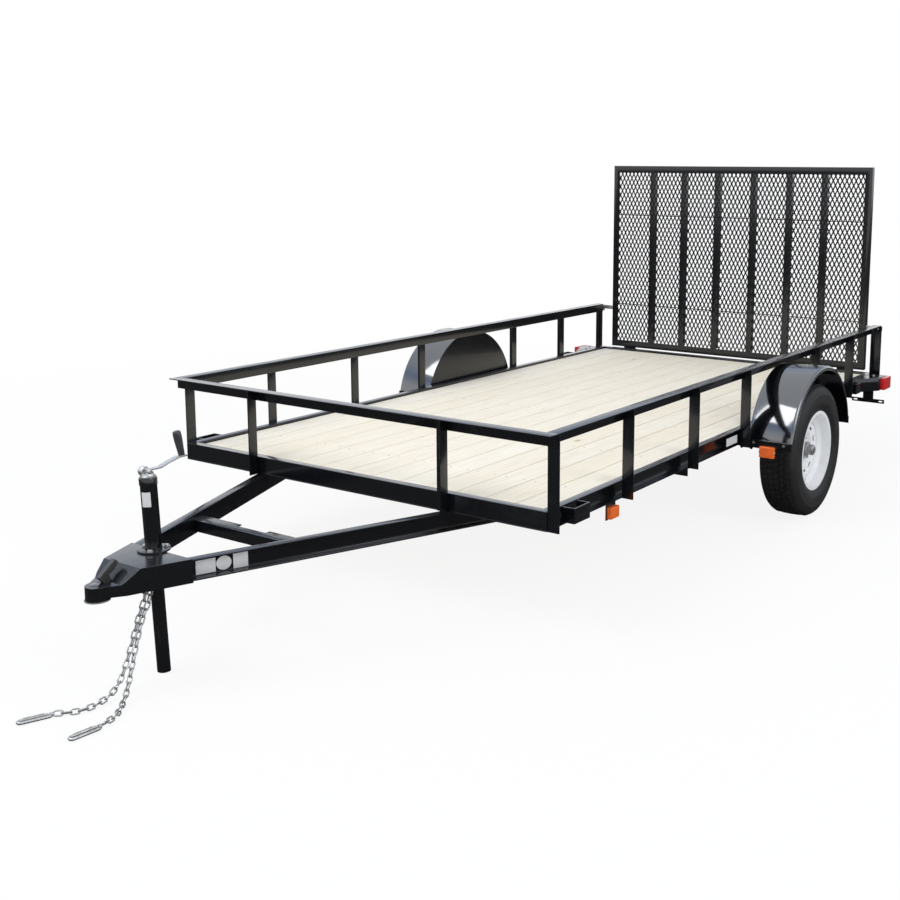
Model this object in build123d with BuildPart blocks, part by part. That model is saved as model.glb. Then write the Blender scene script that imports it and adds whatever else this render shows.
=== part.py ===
from build123d import *
import os

os.makedirs("parts", exist_ok=True)

# Single axle utility trailer with a hinged rear ramp gate. Millimetres, +Z up, floor at Z = 0.
# The coupler points to -Y, the gate is at +Y, the left (road) side is +X.

# ---------------------------------------------------------------- driving sizes
bed_width = 1956.0
bed_length = 3658.0
frame_bottom = 429.0
frame_height = 76.2
channel_flange = 36.0
channel_web = 4.5
flange_thick = 5.5

board_count = 13
board_thick = 32.0
board_gap = 5.0
board_sink = 12.0
bearer_count = 6
bearer_first = 350.0
bearer_pitch = 610.0
bearer_leg = 51.0
angle_thick = 4.8

rail_top = 803.0
angle_leg = 50.8

axle_back = 2150.0
axle_height = 338.0
axle_radius = 30.0
spindle_radius = 20.0
bearing_gap = 0.3
wheel_out = 136.0
tyre_width = 200.0
bead_radius = 190.0
rim_half_width = 86.0
bolt_circle_radius = 57.15
stud_radius = 6.35
stud_count = 5

fender_room = 68.0
fender_drop = 30.0
fender_inner_out = 20.0
fender_outer_out = 249.0
fender_sheet = 2.0
fender_lip = 6.0
fender_foot = 450.0

nose_reach = 1222.0
tongue_height = 76.2
tongue_slope = 0.400
tongue_front_half = 91.0
tongue_front = -1084.0

jack_back = -934.0
jack_base_x = -4.0
jack_lean = 3.2
jack_tube_radius = 28.5
jack_leg_radius = 23.0
jack_tube_bottom = 362.0
jack_tube_top = 686.0
jack_leg_top = 445.0

gate_side_room = 63.0
gate_gap = 30.0
gate_leg = 38.0
gate_face = 44.5
gate_bar_thick = 4.0
gate_bottom = 509.0
gate_height = 1258.0
hinge_height = 484.0
hinge_pin_radius = 8.0
mesh_thick = 1.5
latch_pin_radius = 6.0
latch_clear = 2.5

# ---------------------------------------------------------------- places that follow
half_width = bed_width / 2
frame_top = frame_bottom + frame_height
rear_reach = bed_length + gate_gap + gate_leg
front_y = -(rear_reach - nose_reach) / 2
rear_y = front_y + bed_length
web_face = channel_flange - channel_web
inner_half = half_width - channel_flange
inner_front = front_y + channel_flange
inner_length = bed_length - 2 * channel_flange
board_top = frame_top - board_sink
bearer_top = board_top - board_thick
axle_y = front_y + axle_back
gate_y = rear_y + gate_gap
hinge_y = gate_y + gate_leg / 2
rail_out = half_width - angle_thick + angle_leg
wheel_centre_x = half_width + wheel_out
fender_inner_x = half_width + fender_inner_out
fender_outer_x = half_width + fender_outer_out
fender_radius = axle_height + fender_room
fender_z = axle_height + fender_drop
foot_half = (fender_radius**2 - (fender_foot - fender_z) ** 2) ** 0.5
post_before = axle_back - foot_half - 60.4
post_behind = axle_back + foot_half + 50.4
gate_width = bed_width - 2 * gate_side_room
latch_z = rail_top - 24.0
latch_x = half_width + 26.0


def write(item, label):
    item.part.label = label
    export_step(item.part, "parts/" + label + ".step")


# ---------------------------------------------------------------- bed frame, channels with the toes outward
with BuildPart() as ring:
    with BuildSketch(Plane.XY.offset(frame_bottom)):
        with Locations((0, front_y + bed_length / 2)):
            Rectangle(bed_width, bed_length)
            Rectangle(2 * inner_half, inner_length, mode=Mode.SUBTRACT)
    extrude(amount=frame_height)
    with BuildSketch(Plane.XY.offset(frame_bottom + flange_thick)):
        with Locations((0, front_y + bed_length / 2)):
            Rectangle(bed_width + 20, bed_length + 20)
            Rectangle(bed_width - 2 * web_face, bed_length - 2 * web_face, mode=Mode.SUBTRACT)
    extrude(amount=frame_height - 2 * flange_thick, mode=Mode.SUBTRACT)

with BuildPart() as frame_sides:
    for side in (-1, 1):
        with BuildSketch(Plane.XY.offset(frame_bottom)):
            with BuildLine():
                Polyline(
                    (side * half_width, front_y),
                    (side * half_width, rear_y),
                    (side * inner_half, rear_y - channel_flange),
                    (side * inner_half, inner_front),
                    close=True,
                )
            make_face()
        extrude(amount=frame_height)
    add(ring.part, mode=Mode.INTERSECT)
write(frame_sides, "frame_sides")

with BuildPart() as frame_ends:
    for end_y, step in ((front_y, 1), (rear_y, -1)):
        with BuildSketch(Plane.XY.offset(frame_bottom)):
            with BuildLine():
                Polyline(
                    (-half_width, end_y),
                    (half_width, end_y),
                    (inner_half, end_y + step * channel_flange),
                    (-inner_half, end_y + step * channel_flange),
                    close=True,
                )
            make_face()
        extrude(amount=frame_height)
    add(ring.part, mode=Mode.INTERSECT)
write(frame_ends, "frame_ends")

# cross bearers under the boards: angles between the side webs
bearer_ys = [front_y + bearer_first + i * bearer_pitch for i in range(bearer_count)]
with BuildPart() as deck_bearers:
    for y in bearer_ys:
        with BuildSketch(Plane.YZ.offset(-inner_half)):
            with BuildLine():
                Polyline(
                    (y, frame_bottom),
                    (y + angle_thick, frame_bottom),
                    (y + angle_thick, bearer_top - angle_thick),
                    (y + bearer_leg, bearer_top - angle_thick),
                    (y + bearer_leg, bearer_top),
                    (y, bearer_top),
                    close=True,
                )
            make_face()
        extrude(amount=2 * inner_half)
write(deck_bearers, "deck_bearers")

# lengthwise deck boards
board_width = (2 * inner_half - (board_count + 1) * board_gap) / board_count
with BuildPart() as deck_boards:
    with BuildSketch(Plane.XY.offset(bearer_top)):
        with Locations((0, front_y + bed_length / 2)):
            with GridLocations(board_width + board_gap, 1, board_count, 1):
                Rectangle(board_width, inner_length - 4)
    extrude(amount=board_thick)
write(deck_boards, "deck_boards")

# deeper beam under the frame, behind the tongue
under_beam_back = 1136.0
under_beam_depth = 38.0
with BuildPart() as under_beam:
    y = front_y + under_beam_back
    with BuildSketch(Plane.YZ.offset(-half_width)):
        with BuildLine():
            Polyline(
                (y, frame_bottom - under_beam_depth),
                (y + angle_thick, frame_bottom - under_beam_depth),
                (y + angle_thick, frame_bottom - angle_thick),
                (y + angle_leg, frame_bottom - angle_thick),
                (y + angle_leg, frame_bottom),
                (y, frame_bottom),
                close=True,
            )
        make_face()
    extrude(amount=bed_width)
write(under_beam, "under_beam")

# ---------------------------------------------------------------- top rails: angles, legs inward-down and outward
with BuildPart() as front_rail:
    with BuildSketch(Plane.YZ.offset(-rail_out)):
        with BuildLine():
            Polyline(
                (front_y, rail_top - angle_leg),
                (front_y + angle_thick, rail_top - angle_leg),
                (front_y + angle_thick, rail_top),
                (front_y + angle_thick - angle_leg, rail_top),
                (front_y + angle_thick - angle_leg, rail_top - angle_thick),
                (front_y, rail_top - angle_thick),
                close=True,
            )
        make_face()
    extrude(amount=2 * rail_out)
write(front_rail, "front_rail")

rail_start = front_y + angle_thick
with BuildPart() as side_rails:
    for side in (-1, 1):
        with BuildSketch(Plane.XZ.offset(-rail_start)):
            with BuildLine():
                Polyline(
                    (side * (half_width - angle_thick), rail_top - angle_leg),
                    (side * half_width, rail_top - angle_leg),
                    (side * half_width, rail_top - angle_thick),
                    (side * rail_out, rail_top - angle_thick),
                    (side * rail_out, rail_top),
                    (side * (half_width - angle_thick), rail_top),
                    close=True,
                )
            make_face()
        extrude(amount=-(rear_y - rail_start))
    with BuildSketch(Plane.XZ.offset(-rear_y)):
        with Locations((-latch_x, latch_z), (latch_x, latch_z)):
            Rectangle(38, 2 * (rail_top - latch_z))
            Circle(latch_pin_radius + latch_clear, mode=Mode.SUBTRACT)
    extrude(amount=-6)
write(side_rails, "side_rails")

# ---------------------------------------------------------------- posts: angles outside the frame
# columns: place of the outward leg along the bed, left side and right side, step of the flat leg
post_table = [
    (angle_thick, 1, angle_thick + angle_leg, -1),
    (550.0, 1, 550.0, -1),
    (1138.0, 1, 1138.0, -1),
    (post_before, 1, post_before, -1),
    (post_behind, 1, post_behind, -1),
    (3154.0, 1, 3154.0, -1),
    (bed_length, -1, bed_length, -1),
]
post_top = rail_top - angle_thick
with BuildPart() as side_posts:
    for left_y, left_step, right_y, right_step in post_table:
        for side, along, step in ((1, left_y, left_step), (-1, right_y, right_step)):
            y = front_y + along
            with BuildSketch(Plane.XY.offset(frame_bottom)):
                with BuildLine():
                    Polyline(
                        (side * half_width, y),
                        (side * (half_width + angle_leg), y),
                        (side * (half_width + angle_leg), y + step * angle_thick),
                        (side * (half_width + angle_thick), y + step * angle_thick),
                        (side * (half_width + angle_thick), y + step * angle_leg),
                        (side * half_width, y + step * angle_leg),
                        close=True,
                    )
                make_face()
            extrude(amount=post_top - frame_bottom)
    with BuildSketch(Plane.XZ.offset(-(rear_y - 2 * angle_thick))):
        with Locations((-latch_x, latch_z), (latch_x, latch_z)):
            Circle(latch_pin_radius + latch_clear)
    extrude(amount=-3 * angle_thick, mode=Mode.SUBTRACT)
write(side_posts, "side_posts")

front_post_x = half_width - 457.0
with BuildPart() as front_posts:
    for x in (-front_post_x, front_post_x):
        with BuildSketch(Plane.XY.offset(frame_bottom)):
            with BuildLine():
                Polyline(
                    (x, front_y),
                    (x, front_y - angle_leg + angle_thick),
                    (x - angle_thick, front_y - angle_leg + angle_thick),
                    (x - angle_thick, front_y - angle_thick),
                    (x - angle_leg, front_y - angle_thick),
                    (x - angle_leg, front_y),
                    close=True,
                )
            make_face()
        extrude(amount=post_top - frame_bottom)
write(front_posts, "front_posts")

# ---------------------------------------------------------------- tongue: two channels, toes outward
tongue_bottom = frame_bottom - tongue_height
tongue_flange_x = channel_flange * (1 + tongue_slope**2) ** 0.5
tongue_web_x = channel_web * (1 + tongue_slope**2) ** 0.5
tongue_rear = bearer_first + 40.0


def tongue_outer(along):
    return tongue_front_half + tongue_slope * (along - tongue_front)


with BuildPart() as tongue_beams:
    for side in (-1, 1):
        with BuildSketch(Plane.XY.offset(tongue_bottom)):
            with BuildLine():
                Polyline(
                    (side * tongue_outer(tongue_front), front_y + tongue_front),
                    (side * tongue_outer(tongue_rear), front_y + tongue_rear),
                    (side * (tongue_outer(tongue_rear) - tongue_flange_x), front_y + tongue_rear),
                    (side * (tongue_outer(tongue_front) - tongue_flange_x), front_y + tongue_front),
                    close=True,
                )
            make_face()
        extrude(amount=tongue_height)
        reach = tongue_flange_x - tongue_web_x
        with BuildSketch(Plane.XY.offset(tongue_bottom + flange_thick)):
            with BuildLine():
                Polyline(
                    (side * (tongue_outer(tongue_front - 5) + 5), front_y + tongue_front - 5),
                    (side * (tongue_outer(tongue_rear + 5) + 5), front_y + tongue_rear + 5),
                    (side * (tongue_outer(tongue_rear + 5) - reach), front_y + tongue_rear + 5),
                    (side * (tongue_outer(tongue_front - 5) - reach), front_y + tongue_front - 5),
                    close=True,
                )
            make_face()
        extrude(amount=tongue_height - 2 * flange_thick, mode=Mode.SUBTRACT)
write(tongue_beams, "tongue_beams")

# cross angle between the tongue channels, notched at the rear, and the strap below them that holds the chains
cross_back = -568.0
cross_top = frame_bottom - 20.0
cross_leg = 60.0
cross_drop = 45.0

chain_back = -985.0
strap_thick = 6.0
strap_half = tongue_outer(chain_back - 14) - 2
# columns: rear edge of the leg, underside
cross_legs = [
    (cross_back + cross_leg, cross_top - angle_thick),
    (cross_back + angle_thick, cross_top - cross_drop),
]
with BuildPart() as tongue_cross:
    for leg_end, leg_low in cross_legs:
        front_x = tongue_outer(cross_back) - tongue_flange_x
        rear_x = tongue_outer(leg_end) - tongue_flange_x
        with BuildSketch(Plane.XY.offset(leg_low)):
            with BuildLine():
                Polyline(
                    (-front_x, front_y + cross_back),
                    (front_x, front_y + cross_back),
                    (rear_x, front_y + leg_end),
                    (-rear_x, front_y + leg_end),
                    close=True,
                )
            make_face()
        extrude(amount=cross_top - leg_low)
    with BuildSketch(Plane.XY.offset(cross_top - angle_thick - 1)):
        with Locations((10, front_y + cross_back + cross_leg)):
            Rectangle(150, 44)
    extrude(amount=angle_thick + 2, mode=Mode.SUBTRACT)
    with BuildSketch(Plane.XY.offset(tongue_bottom - strap_thick)):
        with Locations((0, front_y + chain_back)):
            Rectangle(2 * strap_half, 28)
    extrude(amount=strap_thick)
write(tongue_cross, "tongue_cross")

# ---------------------------------------------------------------- coupler: folded shell over the tongue ends
coupler_plate = 4.5
coupler_rear = -925.0
coupler_low = tongue_bottom - 4.0
coupler_high = frame_bottom + coupler_plate
nose_radius = 38.0
nose_top = 388.0
ball_radius = 25.9
ball_back = -nose_reach + nose_radius
shoulder_back = -1128.0
slope_high = -1085.0
slope_low = -1142.0


def plan_points(grow, back_end):
    rear_half = tongue_outer(back_end) + grow
    front_half = tongue_outer(shoulder_back) + grow
    nose_half = nose_radius - coupler_plate + grow
    return [
        (rear_half, front_y + back_end),
        (front_half, front_y + shoulder_back),
        (nose_half, front_y + ball_back),
        (-nose_half, front_y + ball_back),
        (-front_half, front_y + shoulder_back),
        (-rear_half, front_y + back_end),
    ]


def side_points(drop):
    return [
        (front_y + coupler_rear + 20, coupler_low - 20),
        (front_y + coupler_rear + 20, coupler_high - drop),
        (front_y + slope_high, coupler_high - drop),
        (front_y + slope_low, nose_top - drop),
        (front_y - nose_reach - 20, nose_top - drop),
        (front_y - nose_reach - 20, coupler_low - 20),
    ]


jack_plane = Plane(
    origin=(jack_base_x, front_y + jack_back, 0),
    x_dir=Vector(1, 0, 0).rotate(Axis.Y, -jack_lean),
    z_dir=Vector(0, 0, 1).rotate(Axis.Y, -jack_lean),
)

with BuildPart() as coupler_core:
    with BuildSketch(Plane.XY.offset(coupler_low - 10)):
        with BuildLine():
            Polyline(*plan_points(0, coupler_rear + 15), close=True)
        make_face()
    extrude(amount=coupler_high - coupler_low + 20)
    with BuildSketch(Plane.YZ.offset(-200)):
        with BuildLine():
            Polyline(*side_points(coupler_plate), close=True)
        make_face()
    extrude(amount=400, mode=Mode.INTERSECT)
    with BuildSketch(Plane.XY.offset(coupler_low - 20)):
        with Locations((0, front_y + ball_back - 60)):
            Rectangle(200, 200)
    extrude(amount=200, mode=Mode.SUBTRACT)

with BuildPart() as coupler_body:
    with BuildSketch(Plane.XY.offset(coupler_low)):
        with BuildLine():
            Polyline(*plan_points(coupler_plate, coupler_rear), close=True)
        make_face()
        with Locations((0, front_y + ball_back)):
            Circle(nose_radius)
    extrude(amount=coupler_high - coupler_low)
    with BuildSketch(Plane.YZ.offset(-200)):
        with BuildLine():
            Polyline(*side_points(0), close=True)
        make_face()
    extrude(amount=400, mode=Mode.INTERSECT)
    add(coupler_core.part, mode=Mode.SUBTRACT)
    with BuildSketch(Plane.XY.offset(coupler_low - 1)):
        with Locations((0, front_y + ball_back)):
            Circle(ball_radius)
    extrude(amount=29, mode=Mode.SUBTRACT)
    with BuildSketch(jack_plane.offset(coupler_low)):
        Circle(jack_tube_radius + 1.2)
    extrude(amount=120, mode=Mode.SUBTRACT)
write(coupler_body, "coupler_body")

# latch: a raised lever that stands on the nose
lever_width = 34.0
with BuildPart() as coupler_latch:
    with BuildSketch(Plane.YZ.offset(-lever_width / 2)):
        with BuildLine():
            Polyline(
                (front_y - 1170, nose_top),
                (front_y - 1145, nose_top),
                (front_y - 1129, nose_top + 26),
                (front_y - 1106, nose_top + 45),
                (front_y - 1094, nose_top + 71),
                (front_y - 1112, nose_top + 82),
                (front_y - 1189, nose_top + 34),
                close=True,
            )
        make_face()
    extrude(amount=lever_width)
write(coupler_latch, "coupler_latch")

# ---------------------------------------------------------------- jack, leaning a little to the right
with BuildPart() as jack_tube:
    with BuildSketch(jack_plane.offset(jack_tube_bottom)):
        Circle(jack_tube_radius)
        Circle(jack_leg_radius + 0.3, mode=Mode.SUBTRACT)
    extrude(amount=jack_tube_top - jack_tube_bottom)
write(jack_tube, "jack_tube")

flange_plate = 6.0
with BuildPart() as jack_flange:
    shift = -coupler_high * 0.0559 + jack_base_x
    with BuildSketch(Plane.XY.offset(coupler_high)):
        with Locations((shift, front_y + jack_back)):
            Circle(56)
    extrude(amount=flange_plate)
    with BuildSketch(jack_plane.offset(coupler_high - 30)):
        Circle(jack_tube_radius + 0.3)
    extrude(amount=80, mode=Mode.SUBTRACT)
write(jack_flange, "jack_flange")

with BuildPart() as jack_leg:
    with BuildSketch(jack_plane.offset(-10)):
        Circle(jack_leg_radius)
        Circle(jack_leg_radius - 3.5, mode=Mode.SUBTRACT)
    extrude(amount=jack_leg_top + 10)
    split(bisect_by=Plane.XY, keep=Keep.TOP)
write(jack_leg, "jack_leg")

cap_height = 16.0
arm_back = 150.0
arm_thick = 6.0
arm_rise = 7.5
arm_root = jack_plane.offset(jack_tube_top + cap_height + 8)
arm_plane = Plane(
    origin=arm_root.origin,
    x_dir=arm_root.x_dir,
    z_dir=arm_root.z_dir.rotate(Axis((0, 0, 0), arm_root.x_dir), arm_rise),
)
with BuildPart() as jack_crank:
    with BuildSketch(jack_plane.offset(jack_tube_top)):
        Circle(jack_tube_radius + 1.5)
    extrude(amount=cap_height)
    with BuildSketch(jack_plane.offset(jack_tube_top + cap_height)):
        Circle(11)
    extrude(amount=11)
    with BuildSketch(arm_plane):
        Circle(14)
        with Locations((0, arm_back)):
            Circle(11)
        with Locations((0, arm_back / 2)):
            Rectangle(22, arm_back)
    extrude(amount=arm_thick)
write(jack_crank, "jack_crank")

with BuildPart() as jack_grip:
    with BuildSketch(arm_plane.offset(arm_thick)):
        with Locations((0, arm_back)):
            Circle(10.5)
    with BuildSketch(arm_plane.offset(arm_thick + 55)):
        with Locations((-3, arm_back - 6)):
            Circle(13.5)
    with BuildSketch(arm_plane.offset(arm_thick + 92)):
        with Locations((-7, arm_back - 12)):
            Circle(12.5)
    loft(ruled=True)
write(jack_grip, "jack_grip")

# ---------------------------------------------------------------- safety chains: plain tubes along the routes
chain_radius = 9.5
chain_top = tongue_bottom - strap_thick
floor_gap = 2.0
floor_z = chain_radius + floor_gap
# each route: points x, along, z; the last point is where the hook starts
left_route = [
    (12.0, chain_back, chain_top),
    (12.0, chain_back, 290.0),
    (20.0, -1034.0, 229.0),
    (42.0, -1090.0, 112.0),
    (94.0, -1160.0, 32.0),
    (134.0, -1212.0, floor_z),
    (184.0, -1276.0, floor_z),
    (187.0, -1325.0, floor_z),
]
right_route = [
    (-14.0, chain_back, chain_top),
    (-14.0, chain_back, 290.0),
    (-13.0, -1018.0, 230.0),
    (-7.0, -1058.0, 138.0),
    (16.0, -1112.0, 62.0),
    (34.0, -1158.0, 26.0),
    (48.0, -1214.0, floor_z),
    (56.0, -1282.0, floor_z),
    (31.0, -1331.0, floor_z),
    (-6.0, -1360.0, floor_z),
]


def chain_tube(route):
    points = [Vector(x, front_y + along, z) for x, along, z in route]
    runs = [(b - a).length for a, b in zip(points, points[1:])]
    radii = []
    for i in range(1, len(points) - 1):
        turn = (points[i] - points[i - 1]).get_angle(points[i + 1] - points[i])
        half_turn = Vector(1, 0, 0).rotate(Axis.Z, turn / 2)
        radii.append(0.45 * min(runs[i - 1], runs[i]) * half_turn.X / half_turn.Y)
    print("chain radii", [round(r, 1) for r in radii], "runs", [round(r, 1) for r in runs])
    with BuildPart() as tube:
        with BuildLine() as path:
            FilletPolyline(*points, radius=radii)
        with BuildSketch(Plane(origin=points[0], z_dir=points[1] - points[0])):
            Circle(chain_radius)
        sweep(path=path.wire())
    area = 3.14159265 * chain_radius**2
    print("chain volume", round(tube.part.volume), "section times length", round(area * path.wire().length))
    return tube


chain_left = chain_tube(left_route)
write(chain_left, "chain_left")
chain_right = chain_tube(right_route)
write(chain_right, "chain_right")

# hooks lying on the floor at the chain ends
hook_length = 112.0
hook_width = 30.0
hook_wire = 10.0
hook_low = floor_z - hook_wire
# columns: route, heading of the hook as x and y
hook_table = [(left_route, (-0.08, -1.0)), (right_route, (-0.42, -1.0))]
with BuildPart() as chain_hooks:
    for route, heading in hook_table:
        end = Vector(route[-1][0], front_y + route[-1][1], hook_low)
        before = Vector(route[-2][0], front_y + route[-2][1], hook_low)
        ahead = (end - before).normalized()
        centre = end + ahead * 8
        with BuildSketch(Plane(origin=centre, x_dir=(heading[0], heading[1], 0), z_dir=(0, 0, 1))):
            with Locations((hook_length / 2 - 6, 0)):
                SlotOverall(hook_length, hook_width)
                SlotOverall(hook_length - 2 * hook_wire, hook_width - 2 * hook_wire, mode=Mode.SUBTRACT)
        extrude(amount=hook_wire)
        with BuildSketch(Plane(origin=end, x_dir=ahead, z_dir=(0, 0, 1))):
            with Locations((7, 0)):
                Rectangle(14, 2 * hook_wire)
        extrude(amount=2 * hook_wire)
write(chain_hooks, "chain_hooks")

# ---------------------------------------------------------------- axle, springs, hangers, U-bolts
spring_x = half_width - 23.0
axle_tube_half = wheel_centre_x - 78.0
spring_pad = 6.0
leaf_thick = 7.0
leaf_width = 44.0
leaf_half = 320.0
leaf_rise = 3.0
pad_top = axle_height + axle_radius + spring_pad
spindle_end = wheel_centre_x - 6.0
with BuildPart() as axle_beam:
    with BuildSketch(Plane.YZ.offset(-axle_tube_half)):
        with Locations((axle_y, axle_height)):
            Circle(axle_radius)
    extrude(amount=2 * axle_tube_half)
    with BuildSketch(Plane.YZ.offset(-spindle_end)):
        with Locations((axle_y, axle_height)):
            Circle(spindle_radius)
    extrude(amount=2 * spindle_end)
    for side in (-1, 1):
        with BuildSketch(Plane.XY.offset(axle_height)):
            with Locations((side * spring_x, axle_y)):
                Rectangle(leaf_width, 70)
        extrude(amount=pad_top - axle_height)
write(axle_beam, "axle_beam")

eye_radius = 14.0
eye_bore = 8.0
main_low = pad_top + 2 * leaf_thick
eye_z = main_low + leaf_rise + eye_radius - leaf_thick

# columns: drop below the main leaf, half length, rise at the ends
leaf_table = [
    (0.0, leaf_half, leaf_rise),
    (leaf_thick, leaf_half * 0.7, leaf_rise * 0.49),
    (2 * leaf_thick, leaf_half * 0.4, leaf_rise * 0.16),
]
with BuildPart() as leaf_springs:
    for side in (-1, 1):
        with BuildSketch(Plane.YZ.offset(side * spring_x - leaf_width / 2)):
            for drop, half, rise in leaf_table:
                low = main_low - drop
                high = low + leaf_thick
                with BuildLine():
                    ThreePointArc((axle_y - half, low + rise), (axle_y, low), (axle_y + half, low + rise))
                    ThreePointArc((axle_y - half, high + rise), (axle_y, high), (axle_y + half, high + rise))
                    Line((axle_y - half, low + rise), (axle_y - half, high + rise))
                    Line((axle_y + half, low + rise), (axle_y + half, high + rise))
                make_face()
            with Locations((axle_y - leaf_half, eye_z), (axle_y + leaf_half, eye_z)):
                Circle(eye_radius)
                Circle(eye_bore, mode=Mode.SUBTRACT)
        extrude(amount=leaf_width)
write(leaf_springs, "leaf_springs")

hanger_plate = 5.0
with BuildPart() as spring_hangers:
    for side in (-1, 1):
        for end in (-1, 1):
            y = axle_y + end * leaf_half
            for face in (-1, 1):
                plate_x = side * spring_x + face * (leaf_width / 2 + 1 + hanger_plate / 2)
                with BuildSketch(Plane.YZ.offset(plate_x - hanger_plate / 2)):
                    with Locations((y, eye_z)):
                        Circle(19)
                    with Locations((y, (eye_z + frame_bottom) / 2)):
                        Rectangle(56, frame_bottom - eye_z)
                extrude(amount=hanger_plate)
            with BuildSketch(Plane.YZ.offset(side * spring_x - leaf_width / 2 - 10)):
                with Locations((y, eye_z)):
                    Circle(eye_bore - bearing_gap)
            extrude(amount=leaf_width + 20)
            with BuildSketch(Plane.XY.offset(frame_bottom - hanger_plate)):
                with Locations((side * spring_x, y)):
                    Rectangle(leaf_width + 2 + 2 * hanger_plate, 56)
            extrude(amount=hanger_plate)
write(spring_hangers, "spring_hangers")

u_bolt_radius = 5.5
u_bend = axle_radius + u_bolt_radius + 0.3
tie_top = main_low + leaf_thick + 0.3
with BuildPart() as spring_ties:
    for side in (-1, 1):
        with BuildSketch(Plane.XY.offset(tie_top)):
            with Locations((side * spring_x, axle_y)):
                Rectangle(leaf_width + 26, 2 * u_bend + 24)
        extrude(amount=6)
        for face in (-1, 1):
            bolt_x = side * spring_x + face * (leaf_width / 2 + u_bolt_radius + 0.5)
            with BuildLine(Plane.YZ.offset(bolt_x)) as bolt_path:
                Polyline((axle_y - u_bend, tie_top + 14), (axle_y - u_bend, axle_height))
                ThreePointArc(
                    (axle_y - u_bend, axle_height),
                    (axle_y, axle_height - u_bend),
                    (axle_y + u_bend, axle_height),
                )
                Polyline((axle_y + u_bend, axle_height), (axle_y + u_bend, tie_top + 14))
            with BuildSketch(Plane.XY.offset(tie_top + 14)):
                with Locations((bolt_x, axle_y - u_bend)):
                    Circle(u_bolt_radius)
            sweep(path=bolt_path.wire())
write(spring_ties, "spring_ties")

# ---------------------------------------------------------------- wheels
rim_seat = rim_half_width - 3.5
disc_face = 5.0
hub_inner = wheel_centre_x - 68.0
with BuildPart() as hub_left:
    with BuildSketch(Plane.XY.offset(axle_height)):
        with BuildLine():
            Polyline(
                (hub_inner, axle_y - spindle_radius - bearing_gap),
                (hub_inner, axle_y - 36),
                (wheel_centre_x - 10, axle_y - 36),
                (wheel_centre_x - 10, axle_y - 70),
                (wheel_centre_x, axle_y - 70),
                (wheel_centre_x, axle_y - 38),
                (wheel_centre_x + 34, axle_y - 36),
                (wheel_centre_x + 36, axle_y - 27),
                (wheel_centre_x + 66, axle_y - 27),
                (wheel_centre_x + 70, axle_y - 22),
                (wheel_centre_x + 70, axle_y),
                (wheel_centre_x, axle_y),
                (wheel_centre_x, axle_y - spindle_radius - bearing_gap),
                close=True,
            )
        make_face()
    revolve(axis=Axis((0, axle_y, axle_height), (1, 0, 0)))
    with BuildSketch(Plane.YZ.offset(wheel_centre_x)):
        with Locations((axle_y, axle_height)):
            with PolarLocations(bolt_circle_radius, stud_count, start_angle=90):
                Circle(stud_radius)
    extrude(amount=disc_face + 22)
write(hub_left, "hub_left")

slot_count = 10
slot_ring = 116.0
with BuildPart() as rim_left:
    w = wheel_centre_x
    h = rim_half_width
    with BuildSketch(Plane.XY.offset(axle_height)):
        with BuildLine():
            Polyline(
                (w - h, axle_y - 207),
                (w - rim_seat, axle_y - 207),
                (w - rim_seat, axle_y - bead_radius),
                (w - 58, axle_y - bead_radius),
                (w - 40, axle_y - 167),
                (w + 22, axle_y - 167),
                (w + 40, axle_y - bead_radius),
                (w + rim_seat, axle_y - bead_radius),
                (w + rim_seat, axle_y - 207),
                (w + h, axle_y - 207),
                (w + h, axle_y - bead_radius + 3.5),
                (w + 41.6, axle_y - bead_radius + 3.5),
                (w + 23.6, axle_y - 163.5),
                (w + 8, axle_y - 163.5),
                (w + 25, axle_y - 142),
                (w + 22, axle_y - 92),
                (w + disc_face, axle_y - 74),
                (w + disc_face, axle_y - 42),
                (w, axle_y - 42),
                (w, axle_y - 76),
                (w + 17, axle_y - 95),
                (w + 20, axle_y - 140),
                (w - 2, axle_y - 163.5),
                (w - 41.6, axle_y - 163.5),
                (w - 59.6, axle_y - bead_radius + 3.5),
                (w - h, axle_y - bead_radius + 3.5),
                close=True,
            )
        make_face()
    revolve(axis=Axis((0, axle_y, axle_height), (1, 0, 0)))
    with BuildSketch(Plane.YZ.offset(w + 8)):
        with Locations((axle_y, axle_height)):
            with PolarLocations(slot_ring, slot_count, start_angle=90):
                SlotOverall(36, 14, rotation=90)
    extrude(amount=30, mode=Mode.SUBTRACT)
    with BuildSketch(Plane.YZ.offset(w - 1)):
        with Locations((axle_y, axle_height)):
            with PolarLocations(bolt_circle_radius, stud_count, start_angle=90):
                Circle(stud_radius + 1)
    extrude(amount=disc_face + 2, mode=Mode.SUBTRACT)
write(rim_left, "rim_left")

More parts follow.
